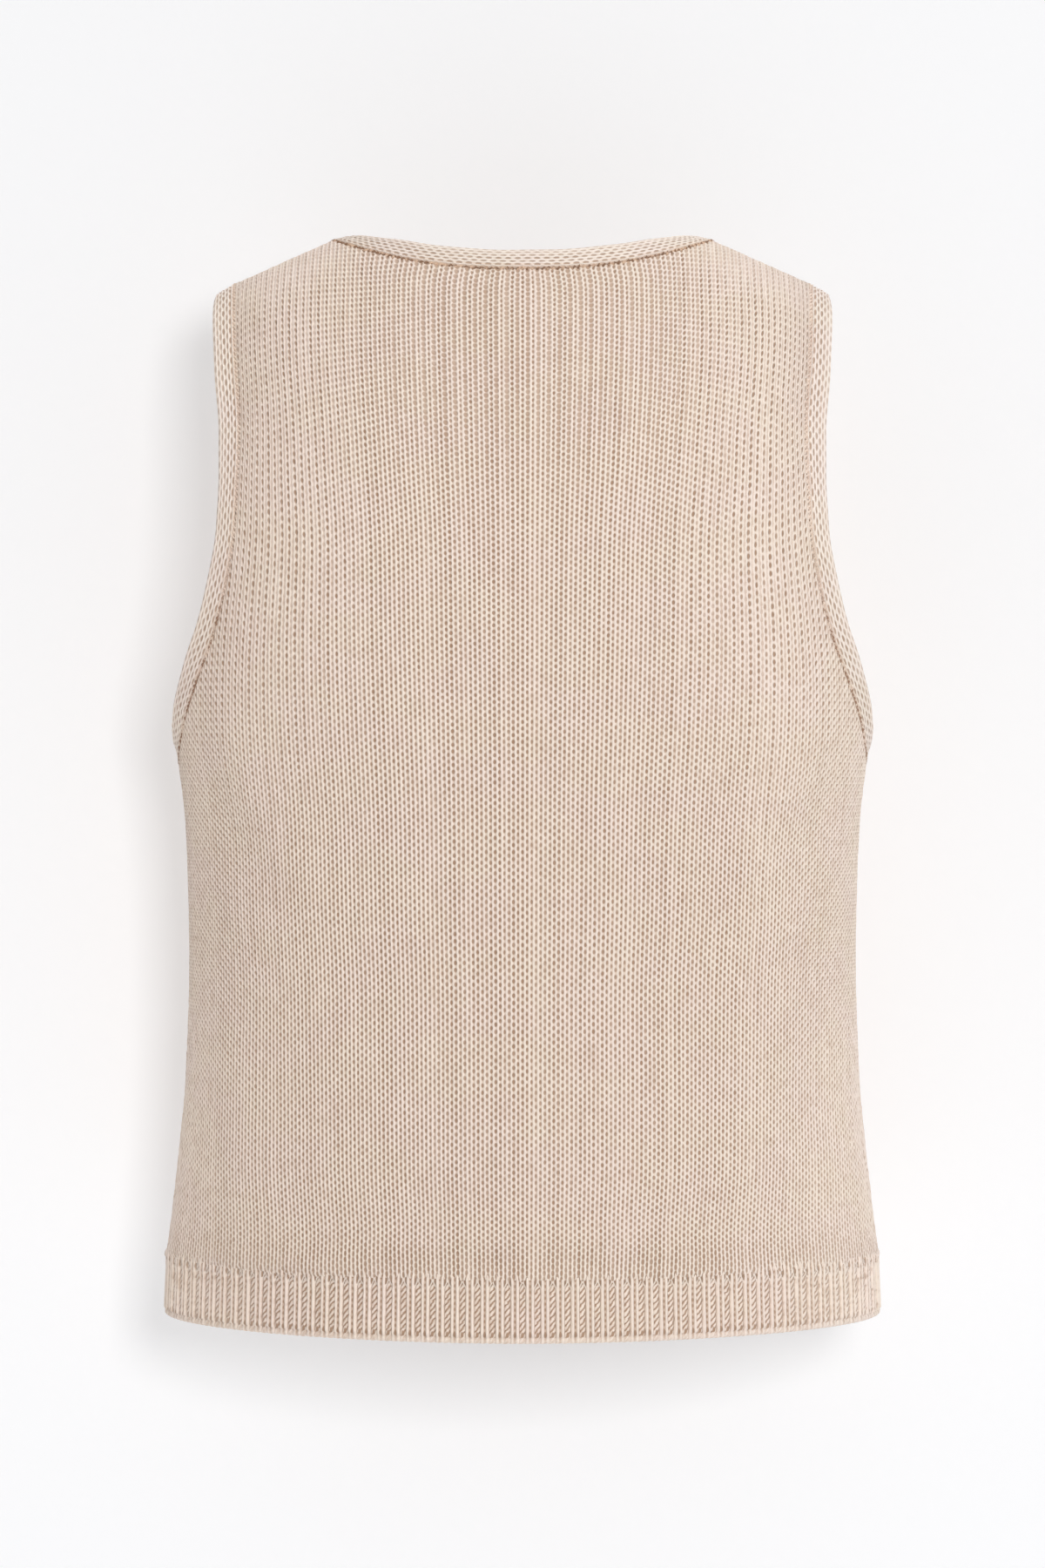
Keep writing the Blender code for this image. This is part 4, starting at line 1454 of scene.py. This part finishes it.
def yarn_group():
    """Make the yarn: its colour with blotches, painted shade in gaps, seams and low in the
    stitch, and its fibres.
    """
    tree, given, result = new_group(
        "Yarn",
        (
            ("Light yarn", "NodeSocketColor", tuple(colours().light_yarn)),
            ("Dark yarn", "NodeSocketColor", tuple(colours().dark_yarn)),
            ("Gap colour", "NodeSocketColor", tuple(colours().gap_shade_colour)),
            ("Height", "NodeSocketFloat", 0.5),
            ("Gap", "NodeSocketFloat", 0.0),
            ("Gap share", "NodeSocketFloat", 0.8),
            ("Own", "NodeSocketFloat", 0.5),
            ("Seam", "NodeSocketFloat", 0.0),
            ("Stitch", "NodeSocketVector", None),
        ),
        (
            ("Color", "NodeSocketColor"),
            ("Roughness", "NodeSocketFloat"),
            ("Fibre", "NodeSocketFloat"),
        ),
    )
    g = Graph(tree)
    place = g.place()
    blotch = g.noise(place, 46.0, 2.0, 0.55)
    speck = g.noise(place, 210.0, 2.0, 0.6)
    fibre = g.noise(place, 1900.0, 3.0, 0.65)
    tone_and_shade = g.add(g.mul(blotch, 0.20), g.mul(speck, 0.30))
    tone_and_shade = g.add(tone_and_shade, g.mul(g.sub(given["Own"], 0.5), 0.20))
    tone_and_shade = g.add(tone_and_shade, g.mul(g.sub(fibre, 0.5), 0.42))
    # Painted light and shade: raised parts of the stitch are painted lighter and sunken parts
    # darker
    tone_and_shade = g.add(tone_and_shade, g.mul(g.sub(given["Height"], 0.6), 0.60))
    streak = g.noise(g.vectors("MULTIPLY", given["Stitch"], (1.35, 0.075, 0.0)), 1.0, 2.0, 0.6)
    tone_and_shade = g.add(tone_and_shade, g.mul(g.sub(streak, 0.5), 0.32))
    base = g.mix(g.rise(tone_and_shade, 0.02, 0.44), given["Dark yarn"], given["Light yarn"])
    pink = g.rise(g.noise(place, 31.0, 1.0), 0.40, 0.62)
    pinker = g.mix(pink, (1.0, 0.99, 0.97, 1.0), (1.0, 0.98, 0.985, 1.0))
    tinted = g.mix(1.0, base, pinker, "MULTIPLY")
    greener = g.rise(g.noise(place, 88.0, 1.0), 0.55, 0.72, 0.0, 0.20)
    tinted = g.mix(greener, tinted, g.mix(1.0, tinted, (0.965, 1.0, 0.95, 1.0), "MULTIPLY"))
    # Painted shade: the gaps between strands are tinted towards the gap shade colour, standing
    # in for their shadow
    gap_shade = g.mul(given["Gap"], given["Gap share"])
    shade_added = g.mix(gap_shade, tinted, given["Gap colour"])
    # Painted shade along the seams, broken by noise: the yarn is darkened towards tan
    seam = g.mul(given["Seam"], g.rise(g.noise(place, 420.0, 1.0), 0.30, 0.62, 0.15, 0.60))
    seam_shaded = g.mix(seam, shade_added, g.mix(1.0, shade_added, (0.82, 0.70, 0.58, 1.0), "MULTIPLY"))
    g.feed(result["Color"], seam_shaded)
    g.feed(result["Roughness"], g.rise(speck, 0.3, 0.7, 0.82, 0.95))
    g.feed(result["Fibre"], g.mul(fibre, g.mul_add(given["Gap"], -0.7, 1.0)))
    return tree


GROUP_MAKERS = {
    "Knit stitch": knit_stitch_group,
    "Purl stitch": purl_stitch_group,
    "Yarn": yarn_group,
}


def oval(g, sideways, upright, half, tall):
    """Return 1 in an oval and 0 outside it, with a soft edge."""
    first = g.div(sideways, half)
    second = g.div(upright, tall)
    size = g.add(g.mul(first, first), g.mul(second, second))
    return g.rise(size, 0.35, 1.45, 1.0, 0.0)


def round_strand(g, off, half):
    """Return the height of a round strand at a distance from its middle."""
    share = g.div(off, half)
    return g.root(g.most(g.sub(1.0, g.mul(share, share)), 0.0))


def rib_pattern(g, across, course, bumps):
    """Return height and gap of the rib: strands, their dots, ropes and pale arches; the gap is
    where painted shade goes.
    """
    centred = g.sub(g.fract(g.mul(across, 0.5)), 0.5)
    from_dots = g.mul(g.size(centred), 2.0)
    from_rope = g.sub(1.0, from_dots)
    strand = round_strand(g, g.sub(from_dots, 0.355), 0.225)
    cell = g.sub(g.fract(course), 0.5)
    dots = oval(g, from_dots, cell, 0.125, 0.36)
    dots = g.most(dots, g.rise(from_dots, 0.05, 0.13, 0.35, 0.0))
    rope = g.rise(from_dots, 0.56, 0.64)
    over = g.sub(course, g.mul_add(from_rope, -2.7, 9.35))
    below = g.rise(over, -0.42, -0.20, 1.0, 0.0)
    arch = g.mul(round_strand(g, over, 0.34), g.rise(from_rope, 0.52, 0.66, 1.0, 0.0))
    rope = g.mul(rope, below)
    edge = g.rise(g.size(g.sub(from_dots, 0.60)), 0.0, 0.06, 0.50, 0.0)
    edge = g.mul(edge, below)
    rope_height = g.mul(bumps.outputs["Height"], g.mul(rope, 0.85))
    height = g.most(g.most(strand, arch), rope_height)
    rope_gap = g.mul(rope, bumps.outputs["Gap"])
    gap = g.most(g.most(dots, edge), rope_gap)
    near = g.least(from_dots, from_rope)
    gap = g.most(gap, oval(g, near, g.sub(course, 0.2), 0.20, 0.52))
    below_row = g.rise(course, -0.42, -0.15, 0.50, 1.0)
    below_row = g.mul(below_row, g.rise(from_dots, 0.05, 0.2, 1.0, 0.0))
    gap = g.mul(gap, g.most(g.rise(course, -0.42, -0.15), below_row))
    height = g.most(height, g.rise(course, -0.30, -0.05, 0.42, 0.0))
    gap = g.mul(gap, g.mul_add(arch, -0.9, 1.0))
    upper = g.mul(g.rise(over, 0.22, 0.36), g.rise(from_rope, 0.46, 0.54, 1.0, 0.0))
    slit = g.rise(g.size(g.sub(from_rope, 0.34)), 0.07, 0.19, 1.0, 0.0)
    plainly = g.sub(1.0, upper)
    gap = g.add(g.mul(gap, plainly), g.mul(slit, upper))
    clear = g.sub(1.0, slit)
    height = g.add(g.mul(height, plainly), g.mul(clear, upper))
    return height, gap


def new_material(name):
    """Make a material and return it with its shader and graph."""
    material = bpy.data.materials.new(name)
    material.use_nodes = True
    tree = material.node_tree
    return material, tree.nodes["Principled BSDF"], Graph(tree)


def dull(g, shader):
    """Give a shader the soft sheen of wool."""
    g.fill(shader, {"Specular IOR Level": 0.25, "Sheen Weight": 0.18, "Sheen Roughness": 0.55})


# Knit materials: their names and how much of the painted gap shade shows
KNIT_NAMES = {
    "plain": "plain_knit",
    "rib": "rib_knit",
    "band": "band_knit",
    "inside": "purl_side",
}
GAP_SHADE_SHARES = {"plain": 0.90, "rib": 0.88, "band": 0.72, "inside": 0.50}

# Heights in metres between which the painted shade at the armhole seams fades from dark to pale
ARMHOLE_FOOT = (-0.21, -0.14)


def faded_gap(g, gap):
    """Return a panel's gaps, their painted shade fainter beside the side seams and under the
    shoulders.
    """
    x, _, height = g.split(g.place())
    out = g.size(x)
    at_side = g.rise(height, -0.26, -0.18, 0.62, 0.95)
    gap = g.mul(gap, g.rise(out, 0.100, 0.170, 1.0, at_side))
    top = MM * (NECK_POINT_HEIGHT + SHOULDER_SLOPE * NECK_HALF_WIDTH)
    line = g.mul_add(out, -SHOULDER_SLOPE, top)
    under = g.rise(g.sub(height, line), -0.030, -0.006, 0.0, 0.80)
    under = g.mul(under, g.rise(out, 0.075, 0.095))
    return g.mul(gap, g.sub(1.0, under))


def knit_material(kind):
    """Return a knit material: kind is plain, rib, band or inside."""
    name = KNIT_NAMES[kind]
    if name in bpy.data.materials:
        return bpy.data.materials[name]
    material, shader, g = new_material(name)
    place = g.node("ShaderNodeUVMap", uv_map="stitches").outputs["UV"]
    seam = g.node("ShaderNodeAttribute", attribute_name="seam").outputs["Fac"]
    if kind == "rib":
        place = g.vectors("SUBTRACT", place, (0.5, 0.0, 0.0))
    knit = g.group("Knit stitch", {"Stitch": place, "Loosen": 0.05})
    wale, course, _ = g.split(place)
    purl = {"Stitch": place}
    if kind == "rib":
        rope = g.vector(g.mul_add(wale, 0.5, 0.75), g.mul(course, 0.92))
        purl = {"Stitch": rope, "Lean": 2.9, "Arch": 0.0}
    bumps = g.group("Purl stitch", purl)
    shown = bumps if kind == "inside" else knit
    height = shown.outputs["Height"]
    gap = shown.outputs["Gap"]
    if kind == "plain":
        gap = g.mul(gap, g.rise(course, 0.0, 2.0, 0.85, 1.0))
        g.feed(knit.inputs["Gap height"], g.rise(course, 2.0, 9.0, 0.50, 0.33))
    if kind == "band":
        # The band's painted gap shade is left off its rolled foot and fades towards its outer
        # edge
        gap = g.mul(gap, g.rise(wale, -0.20, -0.02))
        gap = g.mul(gap, g.rise(wale, 1.0, 2.8, 1.0, 0.45))
    if kind == "rib":
        height, gap = rib_pattern(g, g.add(wale, 0.5), course, bumps)
    if kind in ("plain", "rib"):
        gap = faded_gap(g, gap)
    wool = g.group("Yarn", {"Height": height, "Gap": gap, "Gap share": GAP_SHADE_SHARES[kind]})
    # Painted light: the bands get a lighter copy of the yarn
    if kind == "band":
        g.fill(wool, {"Light yarn": colours().band_light, "Dark yarn": colours().band_dark})
    x, _, up = g.split(g.place())
    # The painted seam shade is kept near the neck and low on the armholes and side seams
    near_neck = g.rise(g.size(x), 0.098, 0.106, 1.0, 0.0)
    lower = g.rise(up, *ARMHOLE_FOOT, 1.0, 0.30)
    seam = g.mul(seam, g.most(near_neck, lower))
    g.fill(wool, {"Own": knit.outputs["Own"], "Stitch": place, "Seam": seam})
    relief = g.add(height, g.mul(knit.outputs["Ply"], 0.10))
    loops = g.bump(relief, 0.75, 0.0006)
    fuzz = g.bump(wool.outputs["Fibre"], 0.55, 0.00035)
    g.feed(fuzz.inputs["Normal"], loops.outputs["Normal"])
    dull(g, shader)
    g.fill(shader, {
        "Base Color": wool.outputs["Color"],
        "Roughness": wool.outputs["Roughness"],
        "Normal": fuzz.outputs["Normal"],
        "Sheen Tint": (1.0, 0.96, 0.93, 1.0),
    })
    return material


def seam_yarn_material(name):
    """Return the linking yarn of the band seams, coloured with painted shade: tan and dark spots
    at the neck and low on the armholes, paler higher up the armholes.
    """
    if name in bpy.data.materials:
        return bpy.data.materials[name]
    place = name.split("_")[0]
    material, shader, g = new_material(name)
    wool = g.group("Yarn", {
        "Light yarn": getattr(colours(), place + "_seam_light"),
        "Dark yarn": getattr(colours(), place + "_seam_dark"),
        "Height": 0.6,
    })
    x, _, height = g.split(g.place())
    neck = g.rise(g.size(x), 0.098, 0.104, 1.0, 0.0)
    low = g.rise(height, *ARMHOLE_FOOT, 1.0, 0.0)
    # Painted shade: broken dark spots along the seam at the neck and low on the armholes, darker
    # still towards the underarms
    broken = g.rise(g.noise(g.place(), 330.0, 1.0), 0.42, 0.60, -1.4, 1.2)
    seam_shade_strength = g.most(neck, low)
    pale = g.mul(g.sub(1.0, seam_shade_strength), 0.9)
    own = g.add(g.mul(broken, seam_shade_strength), pale)
    shade_added = g.mul(g.sub(seam_shade_strength, neck), -0.3)
    g.feed(wool.inputs["Own"], g.add(own, shade_added))
    fuzz = g.bump(wool.outputs["Fibre"], 0.6, 0.0004)
    dull(g, shader)
    g.fill(shader, {
        "Base Color": wool.outputs["Color"],
        "Roughness": 0.9,
        "Normal": fuzz.outputs["Normal"],
    })
    return material


def area_light(name, location, target, size, power, colour):
    """Add a soft square light that faces a target."""
    data = bpy.data.lights.new(name, "AREA")
    data.shape = "RECTANGLE"
    data.size = size
    data.size_y = size
    data.energy = power
    data.color = colour
    light = bpy.data.objects.new(name, data)
    bpy.context.scene.collection.objects.link(light)
    light.location = location
    aim = np.array(target) - np.array(location)
    flat = math.hypot(aim[0], aim[1])
    turn = math.atan2(aim[1], aim[0]) - math.pi / 2.0
    light.rotation_euler = (math.atan2(flat, -aim[2]), 0.0, turn)
    return light


def add_camera(stage):
    """Set the camera at the photograph's angle, square to the back."""
    data = bpy.data.cameras.new("camera")
    data.lens = stage.lens
    data.sensor_width = 36.0
    data.clip_end = 20.0
    camera = bpy.data.objects.new("camera", data)
    bpy.context.scene.collection.objects.link(camera)
    camera.location = (0.0, stage.camera_distance, stage.camera_height)
    camera.rotation_euler = (math.pi / 2.0, 0.0, math.pi)
    bpy.context.scene.camera = camera


def paper_material(stage):
    """Make the pale paper, clear from behind so that it hides nothing in other views."""
    paper, shader, g = new_material("pale_paper")
    g.fill(shader, {
        "Base Color": stage.paper,
        "Roughness": 1.0,
        "Specular IOR Level": 0.0,
        "Emission Color": (0.965, 0.96, 0.96, 1.0),
        "Emission Strength": stage.paper_glow,
    })
    clear = g.node("ShaderNodeBsdfTransparent")
    either = g.node("ShaderNodeMixShader")
    back = g.node("ShaderNodeNewGeometry").outputs["Backfacing"]
    shadow = g.node("ShaderNodeLightPath").outputs["Is Shadow Ray"]
    given = (g.most(back, shadow), shader.outputs[0], clear.outputs[0])
    for socket, value in zip(either.inputs, given):
        g.feed(socket, value)
    g.feed(g.tree.nodes["Material Output"].inputs["Surface"], either.outputs[0])
    return paper


def add_backdrop(stage):
    """Hang the paper behind the vest and bend it forward into a floor."""
    profile = [(BACKDROP_Y, height) for height in BACKDROP_HEIGHTS]
    for step in range(BACKDROP_ROWS + 1):
        turn = math.pi / 2.0 * step / BACKDROP_ROWS
        forward = BACKDROP_BEND * (1.0 - math.cos(turn))
        down = BACKDROP_BEND * (1.0 - math.sin(turn))
        profile.append((BACKDROP_Y + forward, BACKDROP_DROP + down))
    profile.append((BACKDROP_FRONT, BACKDROP_DROP))
    points = [(x, y, z) for y, z in profile for x in (-BACKDROP_HALF, BACKDROP_HALF)]
    faces = [(2 * k, 2 * k + 1, 2 * k + 3, 2 * k + 2) for k in range(len(profile) - 1)]
    mesh = bpy.data.meshes.new("backdrop")
    mesh.from_pydata(points, [], faces)
    mesh.shade_smooth()
    mesh.materials.append(paper_material(stage))
    backdrop = bpy.data.objects.new("backdrop", mesh)
    bpy.context.scene.collection.objects.link(backdrop)
    return backdrop


def add_lights(stage, backdrop):
    """Light the vest softly; the side and top lights leave the paper out."""
    scene = bpy.context.scene
    world = bpy.data.worlds.new("studio") if scene.world is None else scene.world
    scene.world = world
    world.use_nodes = True
    room = world.node_tree.nodes["Background"].inputs
    room["Color"].default_value = (1.0, 1.0, 1.0, 1.0)
    room["Strength"].default_value = stage.room_light
    shielded = bpy.data.collections.new("paper left out")
    shielded.objects.link(backdrop)
    for name, location, target, size, colour, on_paper in LIGHTS:
        power = getattr(stage, name + "_power")
        light = area_light(name, location, target, size, power, colour)
        if not on_paper:
            light.light_linking.receiver_collection = shielded
    shielded.collection_objects[0].light_linking.link_state = "EXCLUDE"


class VestSizes(bpy.types.PropertyGroup):
    """Sizes of the stitches, the rib and the seams."""

    stitch_relief: bpy.props.FloatProperty(
        name="Stitch relief", description="Height of the strands over the gaps between them",
        default=0.95 * MM, min=0.0, max=2.0 * MM, precision=5, unit="LENGTH",
    )
    stitch_sink: bpy.props.FloatProperty(
        name="Stitch sink", description="How far the gaps sink below the cloth's outer face",
        default=0.42 * MM, min=0.0, max=1.0 * MM, precision=5, unit="LENGTH",
    )
    uneven_stitches: bpy.props.FloatProperty(
        name="Uneven stitches", description="Share by which single stitches differ in height",
        default=0.07, min=0.0, max=0.5, subtype="FACTOR",
    )
    hollow_share: bpy.props.FloatProperty(
        name="Soft hollows",
        description="Share of the hand-placed hollows and swells that shows",
        default=1.0, min=0.0, max=2.0, subtype="FACTOR",
    )
    rib_lift: bpy.props.FloatProperty(
        name="Rib lift", description="Height of the hem rib's strands over its channels",
        default=1.15 * MM, min=0.0, max=3.0 * MM, precision=5, unit="LENGTH",
    )
    neck_seam_yarn: bpy.props.FloatProperty(
        name="Neck seam yarn", description="Radius of the linking yarn in the neck seam",
        default=0.74 * MM, min=0.1 * MM, max=1.5 * MM, precision=5, unit="LENGTH",
    )
    armhole_seam_yarn: bpy.props.FloatProperty(
        name="Armhole seam yarn", description="Radius of the linking yarn in the armhole seams",
        default=0.66 * MM, min=0.1 * MM, max=1.5 * MM, precision=5, unit="LENGTH",
    )


class VestColours(bpy.types.PropertyGroup):
    """Colours of the yarns, partly painted light and shade."""

    # The light and dark sand yarns are mixed by random tone and by painted light and shade:
    # lighter high in the stitch, darker low in it
    light_yarn: bpy.props.FloatVectorProperty(
        name="Light yarn", description="The sand yarn where it catches the light",
        default=(0.895, 0.775, 0.680, 1.0), min=0.0, max=1.0, size=4, subtype="COLOR",
    )
    dark_yarn: bpy.props.FloatVectorProperty(
        name="Dark yarn", description="The sand yarn low in the stitch",
        default=(0.715, 0.570, 0.470, 1.0), min=0.0, max=1.0, size=4, subtype="COLOR",
    )
    # Painted shade: the brown that stands in for the shadow in the gaps between strands
    gap_shade_colour: bpy.props.FloatVectorProperty(
        name="Gap colour", description="The brown seen in the gaps between strands",
        default=(0.37, 0.225, 0.14, 1.0), min=0.0, max=1.0, size=4, subtype="COLOR",
    )
    # Painted light: the bands' yarns are lighter copies of the panels' yarns
    band_light: bpy.props.FloatVectorProperty(
        name="Band, light", description="The bands' yarn where it catches the light",
        default=(0.93, 0.83, 0.75, 1.0), min=0.0, max=1.0, size=4, subtype="COLOR",
    )
    band_dark: bpy.props.FloatVectorProperty(
        name="Band, dark", description="The bands' yarn low in the stitch",
        default=(0.80, 0.67, 0.575, 1.0), min=0.0, max=1.0, size=4, subtype="COLOR",
    )
    # The seam yarns are a real linking yarn, but their dark colours are painted shade of the
    # seams under the bands' rolled feet
    neck_seam_light: bpy.props.FloatVectorProperty(
        name="Neck seam, light", description="The neck's linking yarn, its light spots",
        default=(0.68, 0.485, 0.35, 1.0), min=0.0, max=1.0, size=4, subtype="COLOR",
    )
    neck_seam_dark: bpy.props.FloatVectorProperty(
        name="Neck seam, dark", description="The neck's linking yarn, its dark spots",
        default=(0.26, 0.15, 0.09, 1.0), min=0.0, max=1.0, size=4, subtype="COLOR",
    )
    armhole_seam_light: bpy.props.FloatVectorProperty(
        name="Armhole seam, light", description="The armholes' linking yarn, its light spots",
        default=(0.86, 0.72, 0.61, 1.0), min=0.0, max=1.0, size=4, subtype="COLOR",
    )
    armhole_seam_dark: bpy.props.FloatVectorProperty(
        name="Armhole seam, dark", description="The armholes' linking yarn, its dark spots",
        default=(0.34, 0.21, 0.14, 1.0), min=0.0, max=1.0, size=4, subtype="COLOR",
    )


class VestStage(bpy.types.PropertyGroup):
    """Camera, paper and lights."""

    camera_distance: bpy.props.FloatProperty(
        name="Camera distance", description="Distance of the camera behind the shoulders",
        default=2.2, min=0.5, unit="LENGTH",
    )
    camera_height: bpy.props.FloatProperty(
        name="Camera height",
        description="Height of the camera from the shoulders, below them when negative",
        default=-0.258, unit="LENGTH",
    )
    lens: bpy.props.FloatProperty(
        name="Lens", description="Focal length on a 36 mm sensor",
        default=100.0, min=10.0, unit="CAMERA",
    )
    paper: bpy.props.FloatVectorProperty(
        name="Paper", description="Colour of the backdrop and floor",
        default=(0.765, 0.777, 0.796, 1.0), min=0.0, max=1.0, size=4, subtype="COLOR",
    )
    paper_glow: bpy.props.FloatProperty(
        name="Paper glow", description="Light the paper gives off by itself",
        default=0.30, min=0.0, max=1.0,
    )
    room_light: bpy.props.FloatProperty(
        name="Room light", description="Strength of the even light from all sides",
        default=0.465, min=0.0, max=5.0,
    )
    front_power: bpy.props.FloatProperty(
        name="Front light", description="Power of the small light beside the camera",
        default=25.0, min=0.0, unit="POWER",
    )
    side_power: bpy.props.FloatProperty(
        name="Side light", description="Power of the cool light at the right of the picture",
        default=15.5, min=0.0, unit="POWER",
    )
    top_power: bpy.props.FloatProperty(
        name="Top light", description="Power of the light above the shoulders",
        default=11.0, min=0.0, unit="POWER",
    )
    behind_power: bpy.props.FloatProperty(
        name="Light behind", description="Power of the light on the side away from the camera",
        default=20.0, min=0.0, unit="POWER",
    )


class VEST_OT_panels(bpy.types.Operator):
    """Knit the back and front panels, each a body, a yoke and a purl side."""

    bl_idname = "vest.panels"
    bl_label = "Knit the panels"

    def execute(self, context):
        for side, name in SIDES:
            grid = PanelGrid(side)
            node = name + "_panel"
            body, yoke = panel_pieces(grid, name, node, knit_material("plain"), YOKE_COURSE * 2)
            purl = panel_inside(grid, name, node, knit_material("inside"))
        return {"FINISHED"}


class VEST_OT_ribs(bpy.types.Operator):
    """Knit the hem rib of both panels."""

    bl_idname = "vest.ribs"
    bl_label = "Knit the hem ribs"

    def execute(self, context):
        for side, name in SIDES:
            rib_piece(side, name, name + "_panel", knit_material("rib"))
        return {"FINISHED"}


class VEST_OT_neck_band(bpy.types.Operator):
    """Link the band round the neck, with its seam yarn."""

    bl_idname = "vest.neck_band"
    bl_label = "Link the neck band"

    def execute(self, context):
        centre = np.array((0.0, RIDGE_Y, NECK_POINT_HEIGHT + 20.0))
        band = knit_material("band")
        seam = neck_seam()
        band_piece("neck_band", seam, centre, neck_flare, NECK_PITCH, band, True)
        return {"FINISHED"}


class VEST_OT_armhole_bands(bpy.types.Operator):
    """Link the bands round both armholes, with their seam yarn."""

    bl_idname = "vest.armhole_bands"
    bl_label = "Link the armhole bands"

    def execute(self, context):
        band = knit_material("band")
        for sign, word in ((1, "left"), (-1, "right")):
            out = float(half_width(UNDERARM_HEIGHT))
            centre = np.array((sign * out, RIDGE_Y, UNDERARM_HEIGHT / 2.0))
            node = "armhole_band_" + word
            seam = armhole_seam(sign)
            band_piece(node, seam, centre, armhole_flare, ARMHOLE_PITCH, band, False)
        return {"FINISHED"}


class VEST_OT_stage(bpy.types.Operator):
    """Set up the camera, the pale paper and the soft lights."""

    bl_idname = "vest.stage"
    bl_label = "Set the stage"

    def execute(self, context):
        stage = context.scene.vest_stage
        context.scene.view_settings.view_transform = "Standard"
        add_camera(stage)
        add_lights(stage, add_backdrop(stage))
        return {"FINISHED"}


class VEST_PT_knit(bpy.types.Panel):
    """List the vest's values and steps."""

    bl_idname = "VEST_PT_knit"
    bl_label = "Knitted vest"
    bl_space_type = "VIEW_3D"
    bl_region_type = "UI"
    bl_category = "Knit"

    def draw(self, context):
        layout = self.layout
        for name in VALUES:
            box = layout.box()
            box.label(text=name.split("_")[1].capitalize())
            values = getattr(context.scene, name)
            for key in values.__annotations__:
                box.prop(values, key)
        for step in STEPS:
            layout.operator(step.bl_idname)


SIDES = ((1, "back"), (-1, "front"))
VALUES = {"vest_sizes": VestSizes, "vest_colours": VestColours, "vest_stage": VestStage}
STEPS = (VEST_OT_panels, VEST_OT_ribs, VEST_OT_neck_band, VEST_OT_armhole_bands, VEST_OT_stage)


def register():
    """Add the values, steps and sidebar panel."""
    for name, values in VALUES.items():
        bpy.utils.register_class(values)
        setattr(bpy.types.Scene, name, bpy.props.PointerProperty(type=values))
    for step in STEPS:
        bpy.utils.register_class(step)
    bpy.utils.register_class(VEST_PT_knit)


def unregister():
    """Take the sidebar panel, steps and values away again."""
    bpy.utils.unregister_class(VEST_PT_knit)
    for step in reversed(STEPS):
        bpy.utils.unregister_class(step)
    for name, values in VALUES.items():
        delattr(bpy.types.Scene, name)
        bpy.utils.unregister_class(values)


def main():
    """Knit the vest and set its stage."""
    register()
    bpy.ops.vest.panels()
    bpy.ops.vest.ribs()
    bpy.ops.vest.neck_band()
    bpy.ops.vest.armhole_bands()
    bpy.ops.vest.stage()


if __name__ == "__main__":
    main()
